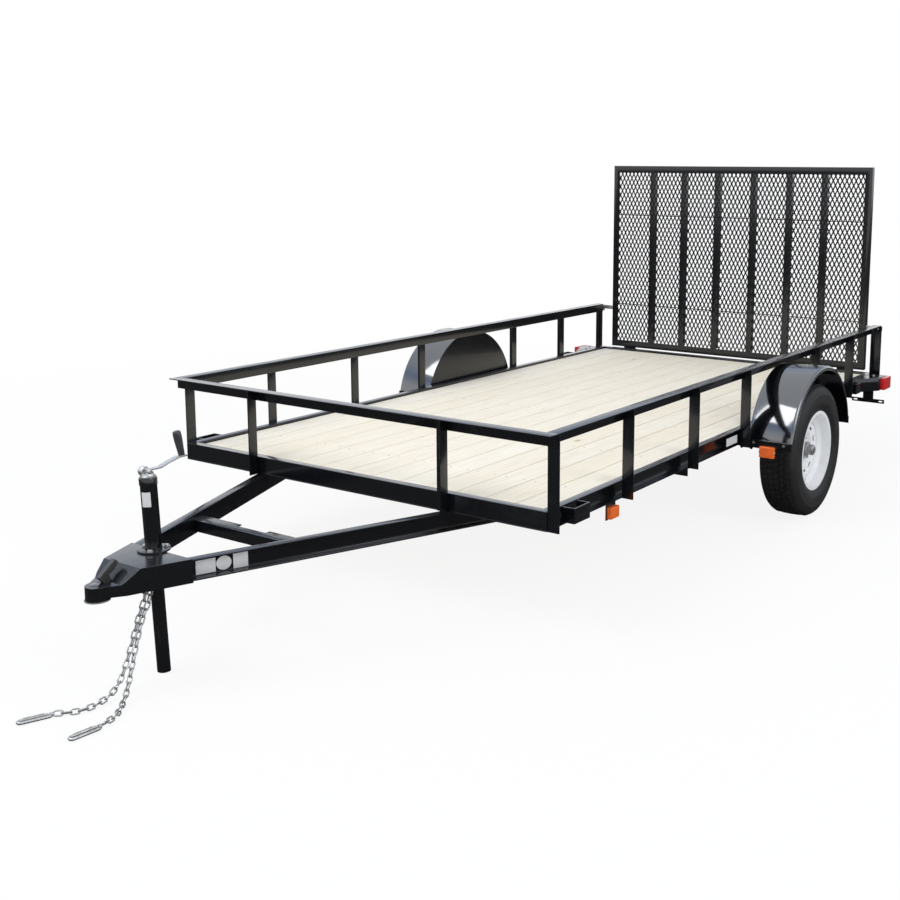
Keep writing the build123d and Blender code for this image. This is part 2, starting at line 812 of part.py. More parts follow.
half_tyre = tyre_width / 2
bead_clear = 0.3
with BuildPart() as tyre_left:
    w = wheel_centre_x
    s = axle_y
    with BuildSketch(Plane.XY.offset(axle_height)):
        with BuildLine():
            for k in (-1, 1):
                Line((w + k * 70, s - bead_radius - bead_clear), (w + k * rim_seat, s - bead_radius - bead_clear))
                Line((w + k * rim_seat, s - bead_radius - bead_clear), (w + k * rim_seat, s - 209))
                ThreePointArc(
                    (w + k * rim_seat, s - 209),
                    (w + k * (half_tyre - 4), s - 232),
                    (w + k * half_tyre, s - 264),
                )
                ThreePointArc(
                    (w + k * half_tyre, s - 264),
                    (w + k * (half_tyre - 4), s - 296),
                    (w + k * (half_tyre - 16), s - 322),
                )
                ThreePointArc(
                    (w + k * (half_tyre - 16), s - 322),
                    (w + k * (half_tyre - 23), s - 330),
                    (w + k * (half_tyre - 34), s - 334),
                )
                Line((w + k * 70, s - bead_radius - bead_clear), (w + k * 72, s - 212))
                ThreePointArc((w + k * 72, s - 212), (w + k * 87, s - 264), (w + k * 72, s - 312))
            ThreePointArc(
                (w - half_tyre + 34, s - 334), (w, s - axle_height), (w + half_tyre - 34, s - 334)
            )
            ThreePointArc((w - 72, s - 312), (w, s - 325), (w + 72, s - 312))
        make_face()
    revolve(axis=Axis((0, axle_y, axle_height), (1, 0, 0)))
write(tyre_left, "tyre_left")

# the right wheel stands half a stud step further round
wheel_axis = Axis((0, axle_y, axle_height), (1, 0, 0))
for name, source in (("hub", hub_left), ("rim", rim_left), ("tyre", tyre_left)):
    turned = mirror(source.part, about=Plane.YZ).rotate(wheel_axis, 180 / stud_count)
    with BuildPart() as other_side:
        add(turned)
    write(other_side, name + "_right")

# ---------------------------------------------------------------- fenders
fender_axis = Axis((0, axle_y, fender_z), (1, 0, 0))


def fender_sweep(x0, x1, r0, r1):
    with BuildPart() as band:
        with BuildSketch(Plane.XY.offset(fender_z)):
            with BuildLine():
                Polyline(
                    (x0, axle_y - r1), (x1, axle_y - r1), (x1, axle_y - r0), (x0, axle_y - r0), close=True
                )
            make_face()
        revolve(axis=fender_axis, revolution_arc=-180)
    return band


arch_sheet = fender_sweep(fender_inner_x, fender_outer_x, fender_radius - fender_sheet, fender_radius)
arch_lip = fender_sweep(
    fender_outer_x - fender_lip, fender_outer_x, fender_radius - fender_sheet, fender_radius + fender_lip
)
arch_back = fender_sweep(fender_inner_x, fender_inner_x + fender_sheet, 0.01, fender_radius - fender_sheet)
with BuildPart() as fender_left:
    add(arch_sheet.part)
    add(arch_lip.part)
    split(bisect_by=Plane.XY.offset(fender_foot), keep=Keep.TOP)
write(fender_left, "fender_left")
with BuildPart() as fender_right:
    mirror(fender_left.part, about=Plane.YZ)
write(fender_right, "fender_right")

with BuildPart() as fender_backs:
    add(arch_back.part)
    split(bisect_by=Plane.XY.offset(fender_foot), keep=Keep.TOP)
    mirror(about=Plane.YZ)
write(fender_backs, "fender_backs")

# plates that carry the fenders: a face plate and a shelf under each fender end
plate_deep = 38.0
plate_thick = 4.0
plate_gap = 8.0
plate_out = fender_outer_x - fender_lip
post_skin = half_width + angle_thick
# columns: side, end, where the plate starts outward of the frame, where it roots
corner_table = [
    (1, -1, half_width, half_width - web_face),
    (1, 1, half_width, half_width - web_face),
    (-1, -1, half_width, half_width - web_face),
    (-1, 1, post_skin, post_skin),
]
with BuildPart() as fender_plates:
    for side, end, start_x, root_x in corner_table:
        face_y = axle_y + end * (foot_half + plate_gap)
        # columns: inner x, outer x, depth along the bed, bottom, top
        piece_table = [
            (start_x, plate_out, plate_thick, fender_foot - plate_deep, fender_foot),
            (start_x, plate_out, 26.0, fender_foot - plate_thick, fender_foot),
            (root_x, start_x + 1, plate_thick, frame_bottom + flange_thick, fender_foot),
        ]
        for inner_x, outer_x, deep, low, high in piece_table:
            with BuildSketch(Plane.XY.offset(low)):
                with BuildLine():
                    Polyline(
                        (side * inner_x, face_y),
                        (side * outer_x, face_y),
                        (side * outer_x, face_y - end * deep),
                        (side * inner_x, face_y - end * deep),
                        close=True,
                    )
                make_face()
            extrude(amount=high - low)
write(fender_plates, "fender_plates")

# ---------------------------------------------------------------- lights
box_step = 18.0
# columns: distance outward of the frame, place along the bed
box_plan = [(0.0, 3330.0), (107.0, 3475.0), (107.0, 3600.0), (0.0, 3600.0)]
box_crown = [(0.0, 3356.0), (92.0, 3496.0), (107.0, 3600.0), (0.0, 3600.0)]
box_out = half_width + 107.0
box_back = front_y + 3600.0
with BuildPart() as tail_boxes:
    for side in (-1, 1):
        foot = [(side * (half_width + out), front_y + along) for out, along in box_plan]
        crown = [(side * (half_width + out), front_y + along) for out, along in box_crown]
        with BuildSketch(Plane.XY.offset(frame_bottom)):
            with BuildLine():
                Polyline(*foot, close=True)
            make_face()
        extrude(amount=frame_height - box_step)
        with BuildSketch(Plane.XY.offset(frame_top - box_step)):
            with BuildLine():
                Polyline(*foot, close=True)
            make_face()
        with BuildSketch(Plane.XY.offset(frame_top)):
            with BuildLine():
                Polyline(*crown, close=True)
            make_face()
        loft(ruled=True)
write(tail_boxes, "tail_boxes")

lens_out = 26.0
lens_front = front_y + 3500.0
lens_deep = 22.0
lens_root = half_width + 58.0
with BuildPart() as tail_lenses:
    for side in (-1, 1):
        with BuildSketch(Plane.XY.offset(frame_bottom + 2)):
            with BuildLine():
                Polyline(
                    (side * lens_root, box_back),
                    (side * box_out, box_back),
                    (side * box_out, lens_front),
                    (side * (box_out + lens_out), lens_front),
                    (side * (box_out + lens_out), box_back + lens_deep),
                    (side * lens_root, box_back + lens_deep),
                    close=True,
                )
            make_face()
        extrude(amount=frame_height - 4)
write(tail_lenses, "tail_lenses")

marker_tall = 47.0
marker_long = 64.0
marker_deep = 22.0
marker_back = 436.0
marker_x = half_width + 126.0
fender_marker_wide = 75.0
fender_marker_tall = 54.0
plate_x = half_width + 35.0
plate_z = 359.0
plate_y = front_y + 3500.0
with BuildPart() as light_brackets:
    for side in (-1, 1):
        with BuildSketch(Plane.XY.offset(frame_bottom - 66)):
            with Locations((side * (half_width - 4.5), front_y + marker_back + marker_long / 2)):
                Rectangle(3, marker_long + 10)
        extrude(amount=66)
    with BuildSketch(Plane.XZ.offset(-plate_y)):
        with Locations((plate_x, (frame_bottom + plate_z) / 2)):
            Rectangle(64, frame_bottom - plate_z)
        with Locations((plate_x, plate_z)):
            Rectangle(201, 24)
        with Locations((plate_x - 78, plate_z), (plate_x + 78, plate_z)):
            SlotOverall(24, 8, mode=Mode.SUBTRACT)
    extrude(amount=-3)
write(light_brackets, "light_brackets")

with BuildPart() as marker_lenses:
    for side in (-1, 1):
        with BuildSketch(Plane.XY.offset(frame_bottom - 60)):
            with Locations(
                (side * (half_width - 3 + marker_deep / 2), front_y + marker_back + marker_long / 2)
            ):
                Rectangle(marker_deep, marker_long)
        extrude(amount=marker_tall)
        face_y = axle_y - (foot_half + plate_gap)
        with BuildSketch(Plane.XY.offset(fender_foot - 78)):
            with Locations((side * marker_x, face_y - marker_deep / 2)):
                Rectangle(fender_marker_wide, marker_deep)
        extrude(amount=fender_marker_tall)
write(marker_lenses, "marker_lenses")

# ---------------------------------------------------------------- stake pockets: U straps on the frame sides
pocket_deep = 58.0
pocket_strap = 6.0
pocket_low = frame_bottom + 14.0
pocket_high = frame_top - 2.0
# columns: place along the bed, length
pocket_table = [(100.0, 110.0), (3207.0, 84.0)]
with BuildPart() as stake_pockets:
    for side in (-1, 1):
        for along, length in pocket_table:
            y = front_y + along
            with BuildSketch(Plane.XY.offset(pocket_low)):
                with BuildLine():
                    Polyline(
                        (side * half_width, y),
                        (side * (half_width + pocket_deep), y),
                        (side * (half_width + pocket_deep), y + length),
                        (side * half_width, y + length),
                        (side * half_width, y + length - pocket_strap),
                        (side * (half_width + pocket_deep - pocket_strap), y + length - pocket_strap),
                        (side * (half_width + pocket_deep - pocket_strap), y + pocket_strap),
                        (side * half_width, y + pocket_strap),
                        close=True,
                    )
                make_face()
            extrude(amount=pocket_high - pocket_low)
write(stake_pockets, "stake_pockets")

# ---------------------------------------------------------------- gate
gate_top = gate_bottom + gate_height
gate_half = gate_width / 2
with BuildPart() as gate_frame:
    face = Plane.XZ.offset(-gate_y)
    middle = gate_bottom + gate_height / 2
    with BuildSketch(face):
        with Locations((0, middle)):
            Rectangle(gate_width, gate_height)
            Rectangle(gate_width - 2 * gate_face, gate_height - 2 * gate_face, mode=Mode.SUBTRACT)
    extrude(amount=-gate_bar_thick)
    with BuildSketch(face.offset(-gate_bar_thick)):
        with Locations((0, middle)):
            Rectangle(gate_width, gate_height)
            Rectangle(
                gate_width - 2 * gate_bar_thick, gate_height - 2 * gate_bar_thick, mode=Mode.SUBTRACT
            )
    extrude(amount=-(gate_leg - gate_bar_thick))
write(gate_frame, "gate_frame")

# upright angles, the deep leg at the left edge of each; places as shares of the half width
bar_shares = (-0.6667, -0.4098, -0.1388, 0.1388, 0.4098, 0.6667)
with BuildPart() as gate_bars:
    for share in bar_shares:
        x = gate_half * share
        with BuildSketch(Plane.XY.offset(gate_bottom + gate_face)):
            with BuildLine():
                Polyline(
                    (x - gate_leg / 2, gate_y),
                    (x + gate_leg / 2, gate_y),
                    (x + gate_leg / 2, gate_y + gate_leg),
                    (x + gate_leg / 2 - gate_bar_thick, gate_y + gate_leg),
                    (x + gate_leg / 2 - gate_bar_thick, gate_y + gate_bar_thick),
                    (x - gate_leg / 2, gate_y + gate_bar_thick),
                    close=True,
                )
            make_face()
        extrude(amount=gate_height - 2 * gate_face)
write(gate_bars, "gate_bars")

# the mesh lies on the bed side of the gate
mesh_left = gate_half - 20.0
mesh_right = gate_half - 31.0
mesh_low = gate_bottom + gate_face - 10.0
mesh_high = gate_top - gate_face + 4.0
with BuildPart() as gate_mesh:
    with BuildSketch(Plane.XZ.offset(-gate_y)):
        with Locations(((mesh_left - mesh_right) / 2, (mesh_low + mesh_high) / 2)):
            Rectangle(mesh_left + mesh_right, mesh_high - mesh_low)
    extrude(amount=mesh_thick)
write(gate_mesh, "gate_mesh")

# hinges: ears on the rear channel with a pin, a knuckle and tab on the gate
hinge_places = (135.0 - gate_half, gate_half - 135.0)
knuckle_long = 90.0
knuckle_radius = 14.0
ear_thick = 6.0
ear_gap = 1.0
ear_span = knuckle_long / 2 + ear_gap
with BuildPart() as hinge_ears:
    for x in hinge_places:
        for face in (-1, 1):
            start = x + face * ear_span if face > 0 else x - ear_span - ear_thick
            with BuildSketch(Plane.YZ.offset(start)):
                with BuildLine():
                    Polyline(
                        (rear_y - web_face, hinge_height - knuckle_radius),
                        (hinge_y, hinge_height - knuckle_radius),
                        (hinge_y, hinge_height + knuckle_radius),
                        (rear_y - web_face, hinge_height + knuckle_radius),
                        close=True,
                    )
                make_face()
                with Locations((hinge_y, hinge_height)):
                    Circle(knuckle_radius)
            extrude(amount=ear_thick)
        with BuildSketch(Plane.YZ.offset(x - ear_span - ear_thick - 5)):
            with Locations((hinge_y, hinge_height)):
                Circle(hinge_pin_radius)
        extrude(amount=2 * (ear_span + ear_thick + 5))
write(hinge_ears, "hinge_ears")

with BuildPart() as hinge_knuckles:
    for x in hinge_places:
        with BuildSketch(Plane.YZ.offset(x - knuckle_long / 2)):
            with Locations((hinge_y, hinge_height)):
                Circle(knuckle_radius)
            with Locations((hinge_y, (hinge_height + gate_bottom) / 2)):
                Rectangle(8, gate_bottom - hinge_height)
            with Locations((hinge_y, hinge_height)):
                Circle(hinge_pin_radius + bearing_gap, mode=Mode.SUBTRACT)
        extrude(amount=knuckle_long)
write(hinge_knuckles, "hinge_knuckles")

# latches: a strap with a pin on each gate side, the pin ending in the hole of the rail lug
latch_reach = 4.0
with BuildPart() as gate_latches:
    for side in (-1, 1):
        with BuildSketch(Plane.XZ.offset(-(gate_y + 8))):
            with Locations((side * (gate_half + latch_x + 14) / 2, latch_z)):
                Rectangle(latch_x + 14 - gate_half, 26)
        extrude(amount=-6)
        with BuildSketch(Plane.XZ.offset(-(rear_y - latch_reach))):
            with Locations((side * latch_x, latch_z)):
                Circle(latch_pin_radius)
        extrude(amount=-(gate_gap + latch_reach + 8 + 6 + 12))
write(gate_latches, "gate_latches")

print("front_y", front_y, "rear_y", rear_y, "axle_y", axle_y, "hinge_y", hinge_y, "eye_z", eye_z)
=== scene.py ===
"""Looks of the utility trailer: studio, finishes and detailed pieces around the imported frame.

Metres, +Z up, the coupler points to -Y and the ramp gate is at +Y.
"""

from __future__ import annotations

import logging
import math
from dataclasses import dataclass, field
from enum import Enum
from typing import Any, Iterable, Sequence

import bmesh
import bpy
from mathutils import Matrix, Vector


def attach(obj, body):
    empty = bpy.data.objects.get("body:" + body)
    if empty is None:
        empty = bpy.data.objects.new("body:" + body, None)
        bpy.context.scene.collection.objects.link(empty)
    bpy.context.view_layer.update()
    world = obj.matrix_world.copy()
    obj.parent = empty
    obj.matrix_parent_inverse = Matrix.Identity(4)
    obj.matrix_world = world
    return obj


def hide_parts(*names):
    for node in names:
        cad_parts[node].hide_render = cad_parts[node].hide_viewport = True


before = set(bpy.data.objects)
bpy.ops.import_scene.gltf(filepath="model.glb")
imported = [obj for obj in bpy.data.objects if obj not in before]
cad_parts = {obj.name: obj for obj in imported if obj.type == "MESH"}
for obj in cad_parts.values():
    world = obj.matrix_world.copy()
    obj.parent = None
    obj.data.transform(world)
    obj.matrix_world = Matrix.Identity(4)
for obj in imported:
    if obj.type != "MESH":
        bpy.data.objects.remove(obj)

log = logging.getLogger("trailer")
Point = Sequence[float]

FRONT = -1.252
BED = 3.658
REAR = FRONT + BED
HALF = 0.978
FRAME_LOW = 0.429
FRAME_TOP = 0.5052
RAIL_TOP = 0.803
AXLE = FRONT + 2.15
AXLE_Z = 0.338
WHEEL_X = 1.114
GATE_Y = REAR + 0.03
# a fender's foot is this far from the axle, with a plate against it and a marker lamp on the plate
FOOT_REACH = 0.3976
FOOT_PLATE = 0.008
MARKER_DEEP = 0.022


class Axis(Enum):
    """Names of the three directions."""

    X = 0
    Y = 1
    Z = 2


# ------------------------------------------------------------------ shader maths
class Value:
    """One socket of a shader tree, with arithmetic that adds its Math nodes."""

    def __init__(self, shader: "Shader", socket: Any) -> None:
        """Wraps a socket of the given shader."""
        self.shader = shader
        self.socket = socket

    def _math(self, operation: str, first: Any, second: Any) -> "Value":
        """Adds a Math node.

        Args:
            operation: name of the operation.
            first: number or Value.
            second: number or Value.

        Returns:
            The result.
        """
        node = self.shader.node("ShaderNodeMath", {"operation": operation}, {0: first, 1: second})
        return Value(self.shader, node.outputs[0])

    def __add__(self, other: Any) -> "Value":
        """Sum."""
        return self._math("ADD", self, other)

    __radd__ = __add__

    def __mul__(self, other: Any) -> "Value":
        """Product."""
        return self._math("MULTIPLY", self, other)

    __rmul__ = __mul__

    def __sub__(self, other: Any) -> "Value":
        """Difference."""
        return self._math("SUBTRACT", self, other)

    def __rsub__(self, other: Any) -> "Value":
        """Difference with a number first."""
        return self._math("SUBTRACT", other, self)

    def __truediv__(self, other: Any) -> "Value":
        """Quotient."""
        return self._math("DIVIDE", self, other)

    def __pow__(self, other: Any) -> "Value":
        """Power."""
        return self._math("POWER", self, other)

    def floor(self) -> "Value":
        """Largest whole number below."""
        return self._math("FLOOR", self, 0.0)

    def above(self, other: Any) -> "Value":
        """One where this is larger than the other, else zero."""
        return self._math("GREATER_THAN", self, other)

    def clamp(self) -> "Value":
        """Kept between zero and one."""
        return self._math("MINIMUM", self._math("MAXIMUM", self, 0.0), 1.0)


class Shader:
    """A material under construction, with one Principled shader."""

    def __init__(self, name: str) -> None:
        """Starts an empty material of that name."""
        self.material = bpy.data.materials.new(name)
        self.material.use_nodes = True
        self.tree = self.material.node_tree
        self.tree.nodes.clear()
        self.out = self.tree.nodes.new("ShaderNodeOutputMaterial")
        self.principled = self.node("ShaderNodeBsdfPrincipled", {}, {})
        self.tree.links.new(self.principled.outputs[0], self.out.inputs[0])
        place = self.node("ShaderNodeTexCoord", {}, {})
        self.place = Value(self, place.outputs["Object"])

    def node(self, kind: str, settings: dict[str, Any], inputs: dict[Any, Any]) -> Any:
        """Adds any node.

        Args:
            kind: the node's type.
            settings: properties, set before the sockets.
            inputs: values or Values by socket name or number.

        Returns:
            The node.
        """
        made = self.tree.nodes.new(kind)
        for key, value in settings.items():
            setattr(made, key, value)
        for key, value in inputs.items():
            if isinstance(value, Value):
                self.tree.links.new(value.socket, made.inputs[key])
            else:
                made.inputs[key].default_value = value
        return made

    def split(self, vector: Value) -> list[Value]:
        """The three parts of a vector."""
        node = self.node("ShaderNodeSeparateXYZ", {}, {0: vector})
        return [Value(self, out) for out in node.outputs]

    def noise(self, vector: Value, scale: float, detail: float = 2.0, rough: float = 0.5) -> Value:
        """Smooth noise from zero to one."""
        node = self.node(
            "ShaderNodeTexNoise", {}, {"Vector": vector, "Scale": scale, "Detail": detail, "Roughness": rough}
        )
        return Value(self, node.outputs[0])

    def cells(self, vector: Value, scale: float, part: str = "Distance") -> Value:
        """Voronoi cells: distance to, or a random colour of, the nearest one."""
        node = self.node("ShaderNodeTexVoronoi", {"feature": "F1"}, {"Vector": vector, "Scale": scale})
        return Value(self, node.outputs[part])

    def chance(self, seed: Value) -> Value:
        """A random number for each value of the seed."""
        node = self.node("ShaderNodeTexWhiteNoise", {"noise_dimensions": "1D"}, {"W": seed})
        return Value(self, node.outputs["Value"])

    def mix(self, amount: Any, first: Any, second: Any) -> Value:
        """Blend of two colours.

        Args:
            amount: share of the second colour.
            first: colour or Value.
            second: colour or Value.

        Returns:
            The blended colour.
        """
        one, two = [v if isinstance(v, Value) else (*v, 1.0) for v in (first, second)]
        node = self.node("ShaderNodeMix", {"data_type": "RGBA"}, {0: amount, 6: one, 7: two})
        return Value(self, node.outputs[2])

    def bump(self, height: Value, depth: float, strength: float = 1.0, under: Value | None = None) -> Value:
        """Normal of a surface raised by a height.

        Args:
            height: from zero to one.
            depth: in metres.
            strength: share of the effect.
            under: normal that it adds to.

        Returns:
            The normal.
        """
        inputs: dict[Any, Any] = {"Height": height, "Distance": depth, "Strength": strength}
        if under is not None:
            inputs["Normal"] = under
        node = self.node("ShaderNodeBump", {}, inputs)
        return Value(self, node.outputs[0])

    def facing_up(self) -> Value:
        """How far the surface faces up, from minus one to one."""
        node = self.node("ShaderNodeNewGeometry", {}, {})
        return self.split(Value(self, node.outputs["Normal"]))[2]

    def put(self, **sockets: Any) -> "Shader":
        """Sets sockets of the Principled shader; an underscore stands for a space."""
        for key, value in sockets.items():
            name = key.replace("_", " ")
            if isinstance(value, Value):
                self.tree.links.new(value.socket, self.principled.inputs[name])
            elif name in ("Base Color", "Emission Color", "Sheen Tint", "Coat Tint"):
                self.principled.inputs[name].default_value = (*value, 1.0)
            else:
                self.principled.inputs[name].default_value = value
        return self


# ------------------------------------------------------------------ finishes
@dataclass(frozen=True)
class Enamel:
    """Sprayed enamel over rolled steel: orange peel, faint waves and dust on top faces."""

    name: str = "black_enamel"
    base: Point = (0.0045, 0.005, 0.0065)
    dusty: Point = (0.03, 0.03, 0.032)
    gloss: float = 0.16
    peel: float = 0.00005
    dust: float = 0.35
    shine: float = 1.5

    def material(self) -> bpy.types.Material:
        """Builds the material."""
        shader = Shader(self.name)
        broad = shader.noise(shader.place, 5.0, 4.0)
        fine = shader.noise(shader.place, 160.0, 2.0)
        grit = shader.noise(shader.place, 900.0, 2.0)
        top = (shader.facing_up() * 1.4 - 0.45).clamp()
        settled = top * ((broad - 0.35) * 2.2).clamp() * self.dust
        speck = shader.cells(shader.place, 240.0)
        chips = (0.05 - speck).above(0.0) * (broad - 0.56).above(0.0) * 0.35
        colour = shader.mix((settled * 0.8 + chips).clamp(), self.base, self.dusty)
        normal = shader.bump(fine + 0.35 * grit, self.peel)
        wave = shader.bump(shader.noise(shader.place, 22.0, 1.0), 0.0006, 0.35, normal)
        shader.put(
            Base_Color=colour,
            Roughness=(settled * 0.35 + 0.16 * fine + self.gloss - 0.05).clamp(),
            Normal=wave,
            IOR=self.shine,
            Coat_Weight=0.3,
            Coat_Roughness=0.05,
        )
        return shader.material


@dataclass(frozen=True)
class RimPaint:
    """White paint on pressed steel with a little grime, and painted shade behind the disc's face."""

    name: str = "rim_white"
    base: Point = (0.83, 0.84, 0.85)
    grime: Point = (0.42, 0.4, 0.37)
    painted_shade: Point = (0.012, 0.012, 0.013)
    face: float = WHEEL_X - 0.003
    fade: float = 0.002

    def material(self) -> bpy.types.Material:
        """Builds the material."""
        shader = Shader(self.name)
        broad = shader.noise(shader.place, 14.0, 5.0)
        fine = shader.noise(shader.place, 260.0, 2.0)
        dirt = ((broad - 0.55) * 3.0).clamp() * 0.22
        across, _, _ = shader.split(shader.place)
        # painted shade: surfaces inboard of the disc's face turn near black, standing for the shade inside
        # the wheel's barrel
        behind = ((self.face - (across * across) ** 0.5) / self.fade).clamp() * 0.94
        front = shader.mix(dirt, self.base, self.grime)
        shader.put(
            Base_Color=shader.mix(behind, front, self.painted_shade),
            Roughness=0.28 + 0.2 * broad,
            Normal=shader.bump(fine, 0.0001),
            Coat_Weight=0.3,
            Coat_Roughness=0.12,
        )
        return shader.material


@dataclass(frozen=True)
class Zinc:
    """Zinc plated or bare steel with spangle and dull patches."""

    name: str = "zinc_plate"
    base: Point = (0.62, 0.62, 0.6)
    dull: Point = (0.36, 0.35, 0.33)
    gloss: float = 0.34

    def material(self) -> bpy.types.Material:
        """Builds the material."""
        shader = Shader(self.name)
        spangle = shader.cells(shader.place, 170.0, "Color")
        grain = shader.split(spangle)[0]
        cloud = shader.noise(shader.place, 60.0, 4.0)
        shade = (0.55 * cloud + 0.4 * grain).clamp()
        shader.put(
            Base_Color=shader.mix(shade, self.base, self.dull),
            Metallic=0.92,
            Roughness=(self.gloss - 0.1 + 0.35 * cloud).clamp(),
            Normal=shader.bump(shader.noise(shader.place, 420.0, 2.0), 0.0001, 0.6),
        )
        return shader.material


@dataclass(frozen=True)
class Pine:
    """Pale sawn boards: grain along the bed, rings, small knots and a tone for each board."""

    name: str = "pale_pine"
    light: Point = (0.88, 0.85, 0.77)
    warm: Point = (0.8, 0.74, 0.6)
    grain: Point = (0.62, 0.52, 0.36)
    knot: Point = (0.36, 0.24, 0.13)
    pitch: float = 0.1446
    half_boards: float = 10.5

    @staticmethod
    def stretched(shader: Shader, vector: Value, scale: Point) -> Value:
        """A vector scaled in each direction."""
        node = shader.node("ShaderNodeMapping", {}, {"Vector": vector, "Scale": scale})
        return Value(shader, node.outputs[0])

    def material(self) -> bpy.types.Material:
        """Builds the material."""
        shader = Shader(self.name)
        x, _, _ = shader.split(shader.place)
        board = ((x + self.half_boards * self.pitch) / self.pitch).floor()
        tone = shader.chance(board)
        shift = shader.node("ShaderNodeCombineXYZ", {}, {0: tone * 7.0, 1: tone * 23.0, 2: 0.0})
        moved = shader.node(
            "ShaderNodeVectorMath",
            {"operation": "ADD"},
            {0: shader.place, 1: Value(shader, shift.outputs[0])},
        )
        spot = Value(shader, moved.outputs[0])
        along = self.stretched(shader, spot, (1.0, 0.055, 1.0))
        streak = shader.noise(along, 85.0, 5.0, 0.6)
        broad = shader.noise(along, 16.0, 3.0)
        fibre = shader.noise(along, 420.0, 2.0)
        near = shader.cells(self.stretched(shader, spot, (1.0, 0.5, 0.2)), 5.0)
        knot = ((0.07 - near) * 22.0).clamp()
        halo = ((0.15 - near) * 8.0).clamp()
        rings = ((streak - 0.42) * 3.0).clamp() * 0.42 + 0.2 * halo
        body = shader.mix((broad * 0.7 + tone * 0.5 - 0.15).clamp(), self.light, self.warm)
        lined = shader.mix(rings, body, self.grain)
        shader.put(
            Base_Color=shader.mix(knot * 0.7, lined, self.knot),
            Roughness=0.6 + 0.2 * streak,
            Normal=shader.bump(0.6 * streak + 0.5 * fibre, 0.0007),
        )
        return shader.material


@dataclass(frozen=True)
class Rubber:
    """Tyre rubber, matt, with a grey bloom and road dust."""

    name: str = "tyre_rubber"
    base: Point = (0.007, 0.007, 0.007)
    bloom: Point = (0.03, 0.027, 0.023)

    def material(self) -> bpy.types.Material:
        """Builds the material."""
        shader = Shader(self.name)
        broad = shader.noise(shader.place, 9.0, 5.0)
        fine = shader.noise(shader.place, 500.0, 3.0)
        shader.put(
            Base_Color=shader.mix(((broad - 0.35) * 1.5).clamp() * 0.6, self.base, self.bloom),
            Roughness=0.5 + 0.25 * broad,
            Normal=shader.bump(fine, 0.0002),
        )
        return shader.material


@dataclass(frozen=True)
class Plastic:
    """Moulded plastic or a lamp lens, with a fine texture and, on the lenses, a painted glow."""

    name: str
    base: Point
    deep: Point
    gloss: float = 0.4
    grain: float = 0.00008
    glow: float = 0.0

    def material(self) -> bpy.types.Material:
        """Builds the material."""
        shader = Shader(self.name)
        cloud = shader.noise(shader.place, 30.0, 3.0)
        fine = shader.noise(shader.place, 650.0, 2.0)
        shader.put(
            Base_Color=shader.mix(((cloud - 0.3) * 1.6).clamp(), self.base, self.deep),
            Roughness=(self.gloss - 0.06 + 0.12 * fine).clamp(),
            Normal=shader.bump(fine, self.grain),
            Coat_Weight=0.25,
            # painted glow: emission in the base colour brightens the lens
            Emission_Color=self.base,
            Emission_Strength=self.glow,
        )
        return shader.material


@dataclass(frozen=True)
class Casting:
    """Cast or forged grey metal, rough, with darker pits."""

    name: str = "grey_casting"
    base: Point = (0.3, 0.3, 0.295)
    dark: Point = (0.1, 0.1, 0.1)
    metal: float = 0.6

    def material(self) -> bpy.types.Material:
        """Builds the material."""
        shader = Shader(self.name)
        cloud = shader.noise(shader.place, 75.0, 4.0)
        pits = shader.noise(shader.place, 380.0, 3.0)
        shader.put(
            Base_Color=shader.mix((cloud * 0.5 + pits * 0.4).clamp(), self.base, self.dark),
            Metallic=self.metal,
            Roughness=0.42 + 0.25 * cloud,
            Normal=shader.bump(pits, 0.0004),
        )
        return shader.material


class Finishes:
    """All the materials, made once."""

    def __init__(self) -> None:
        """Builds every finish."""
        self.enamel = Enamel().material()
        self.sheet = Enamel(
            "fender_enamel", (0.004, 0.0046, 0.0065), gloss=0.07, peel=0.00001, dust=0.06, shine=2.3
        ).material()
        self.hub = Zinc("hub_grey", (0.4, 0.41, 0.41), (0.22, 0.22, 0.22), 0.4).material()
        self.rim = RimPaint().material()
        self.zinc = Zinc().material()
        self.bright = Zinc("bright_zinc", (0.7, 0.7, 0.69), (0.5, 0.5, 0.48), 0.28).material()
        self.pine = Pine().material()
        self.rubber = Rubber().material()
        # columns: name, colour, deeper colour, roughness, grain, glow; the glow on the two lenses is a
        # painted glow
        self.amber, self.red, self.plastic, self.vinyl = [
            Plastic(*row).material()
            for row in (
                ("amber_lens", (0.74, 0.14, 0.018), (0.52, 0.075, 0.01), 0.22, 0.00003, 0.12),
                ("red_lens", (0.6, 0.02, 0.02), (0.38, 0.01, 0.012), 0.2, 0.00003, 0.05),
                ("black_plastic", (0.024, 0.024, 0.025), (0.04, 0.04, 0.04), 0.5, 0.0002, 0.0),
                ("blank_label", (0.66, 0.67, 0.68), (0.58, 0.59, 0.6), 0.35, 0.00004, 0.0),
            )
        ]
        self.cast = Casting().material()


# ------------------------------------------------------------------ meshes
def circle(radius: float, steps: int, centre: Point = (0.0, 0.0)) -> list[tuple[float, float]]:
    """Evenly spaced points round a circle, the first one straight along the first direction."""
    angles = [2 * math.pi * k / steps for k in range(steps)]
    return [(centre[0] + radius * math.cos(a), centre[1] + radius * math.sin(a)) for a in angles]


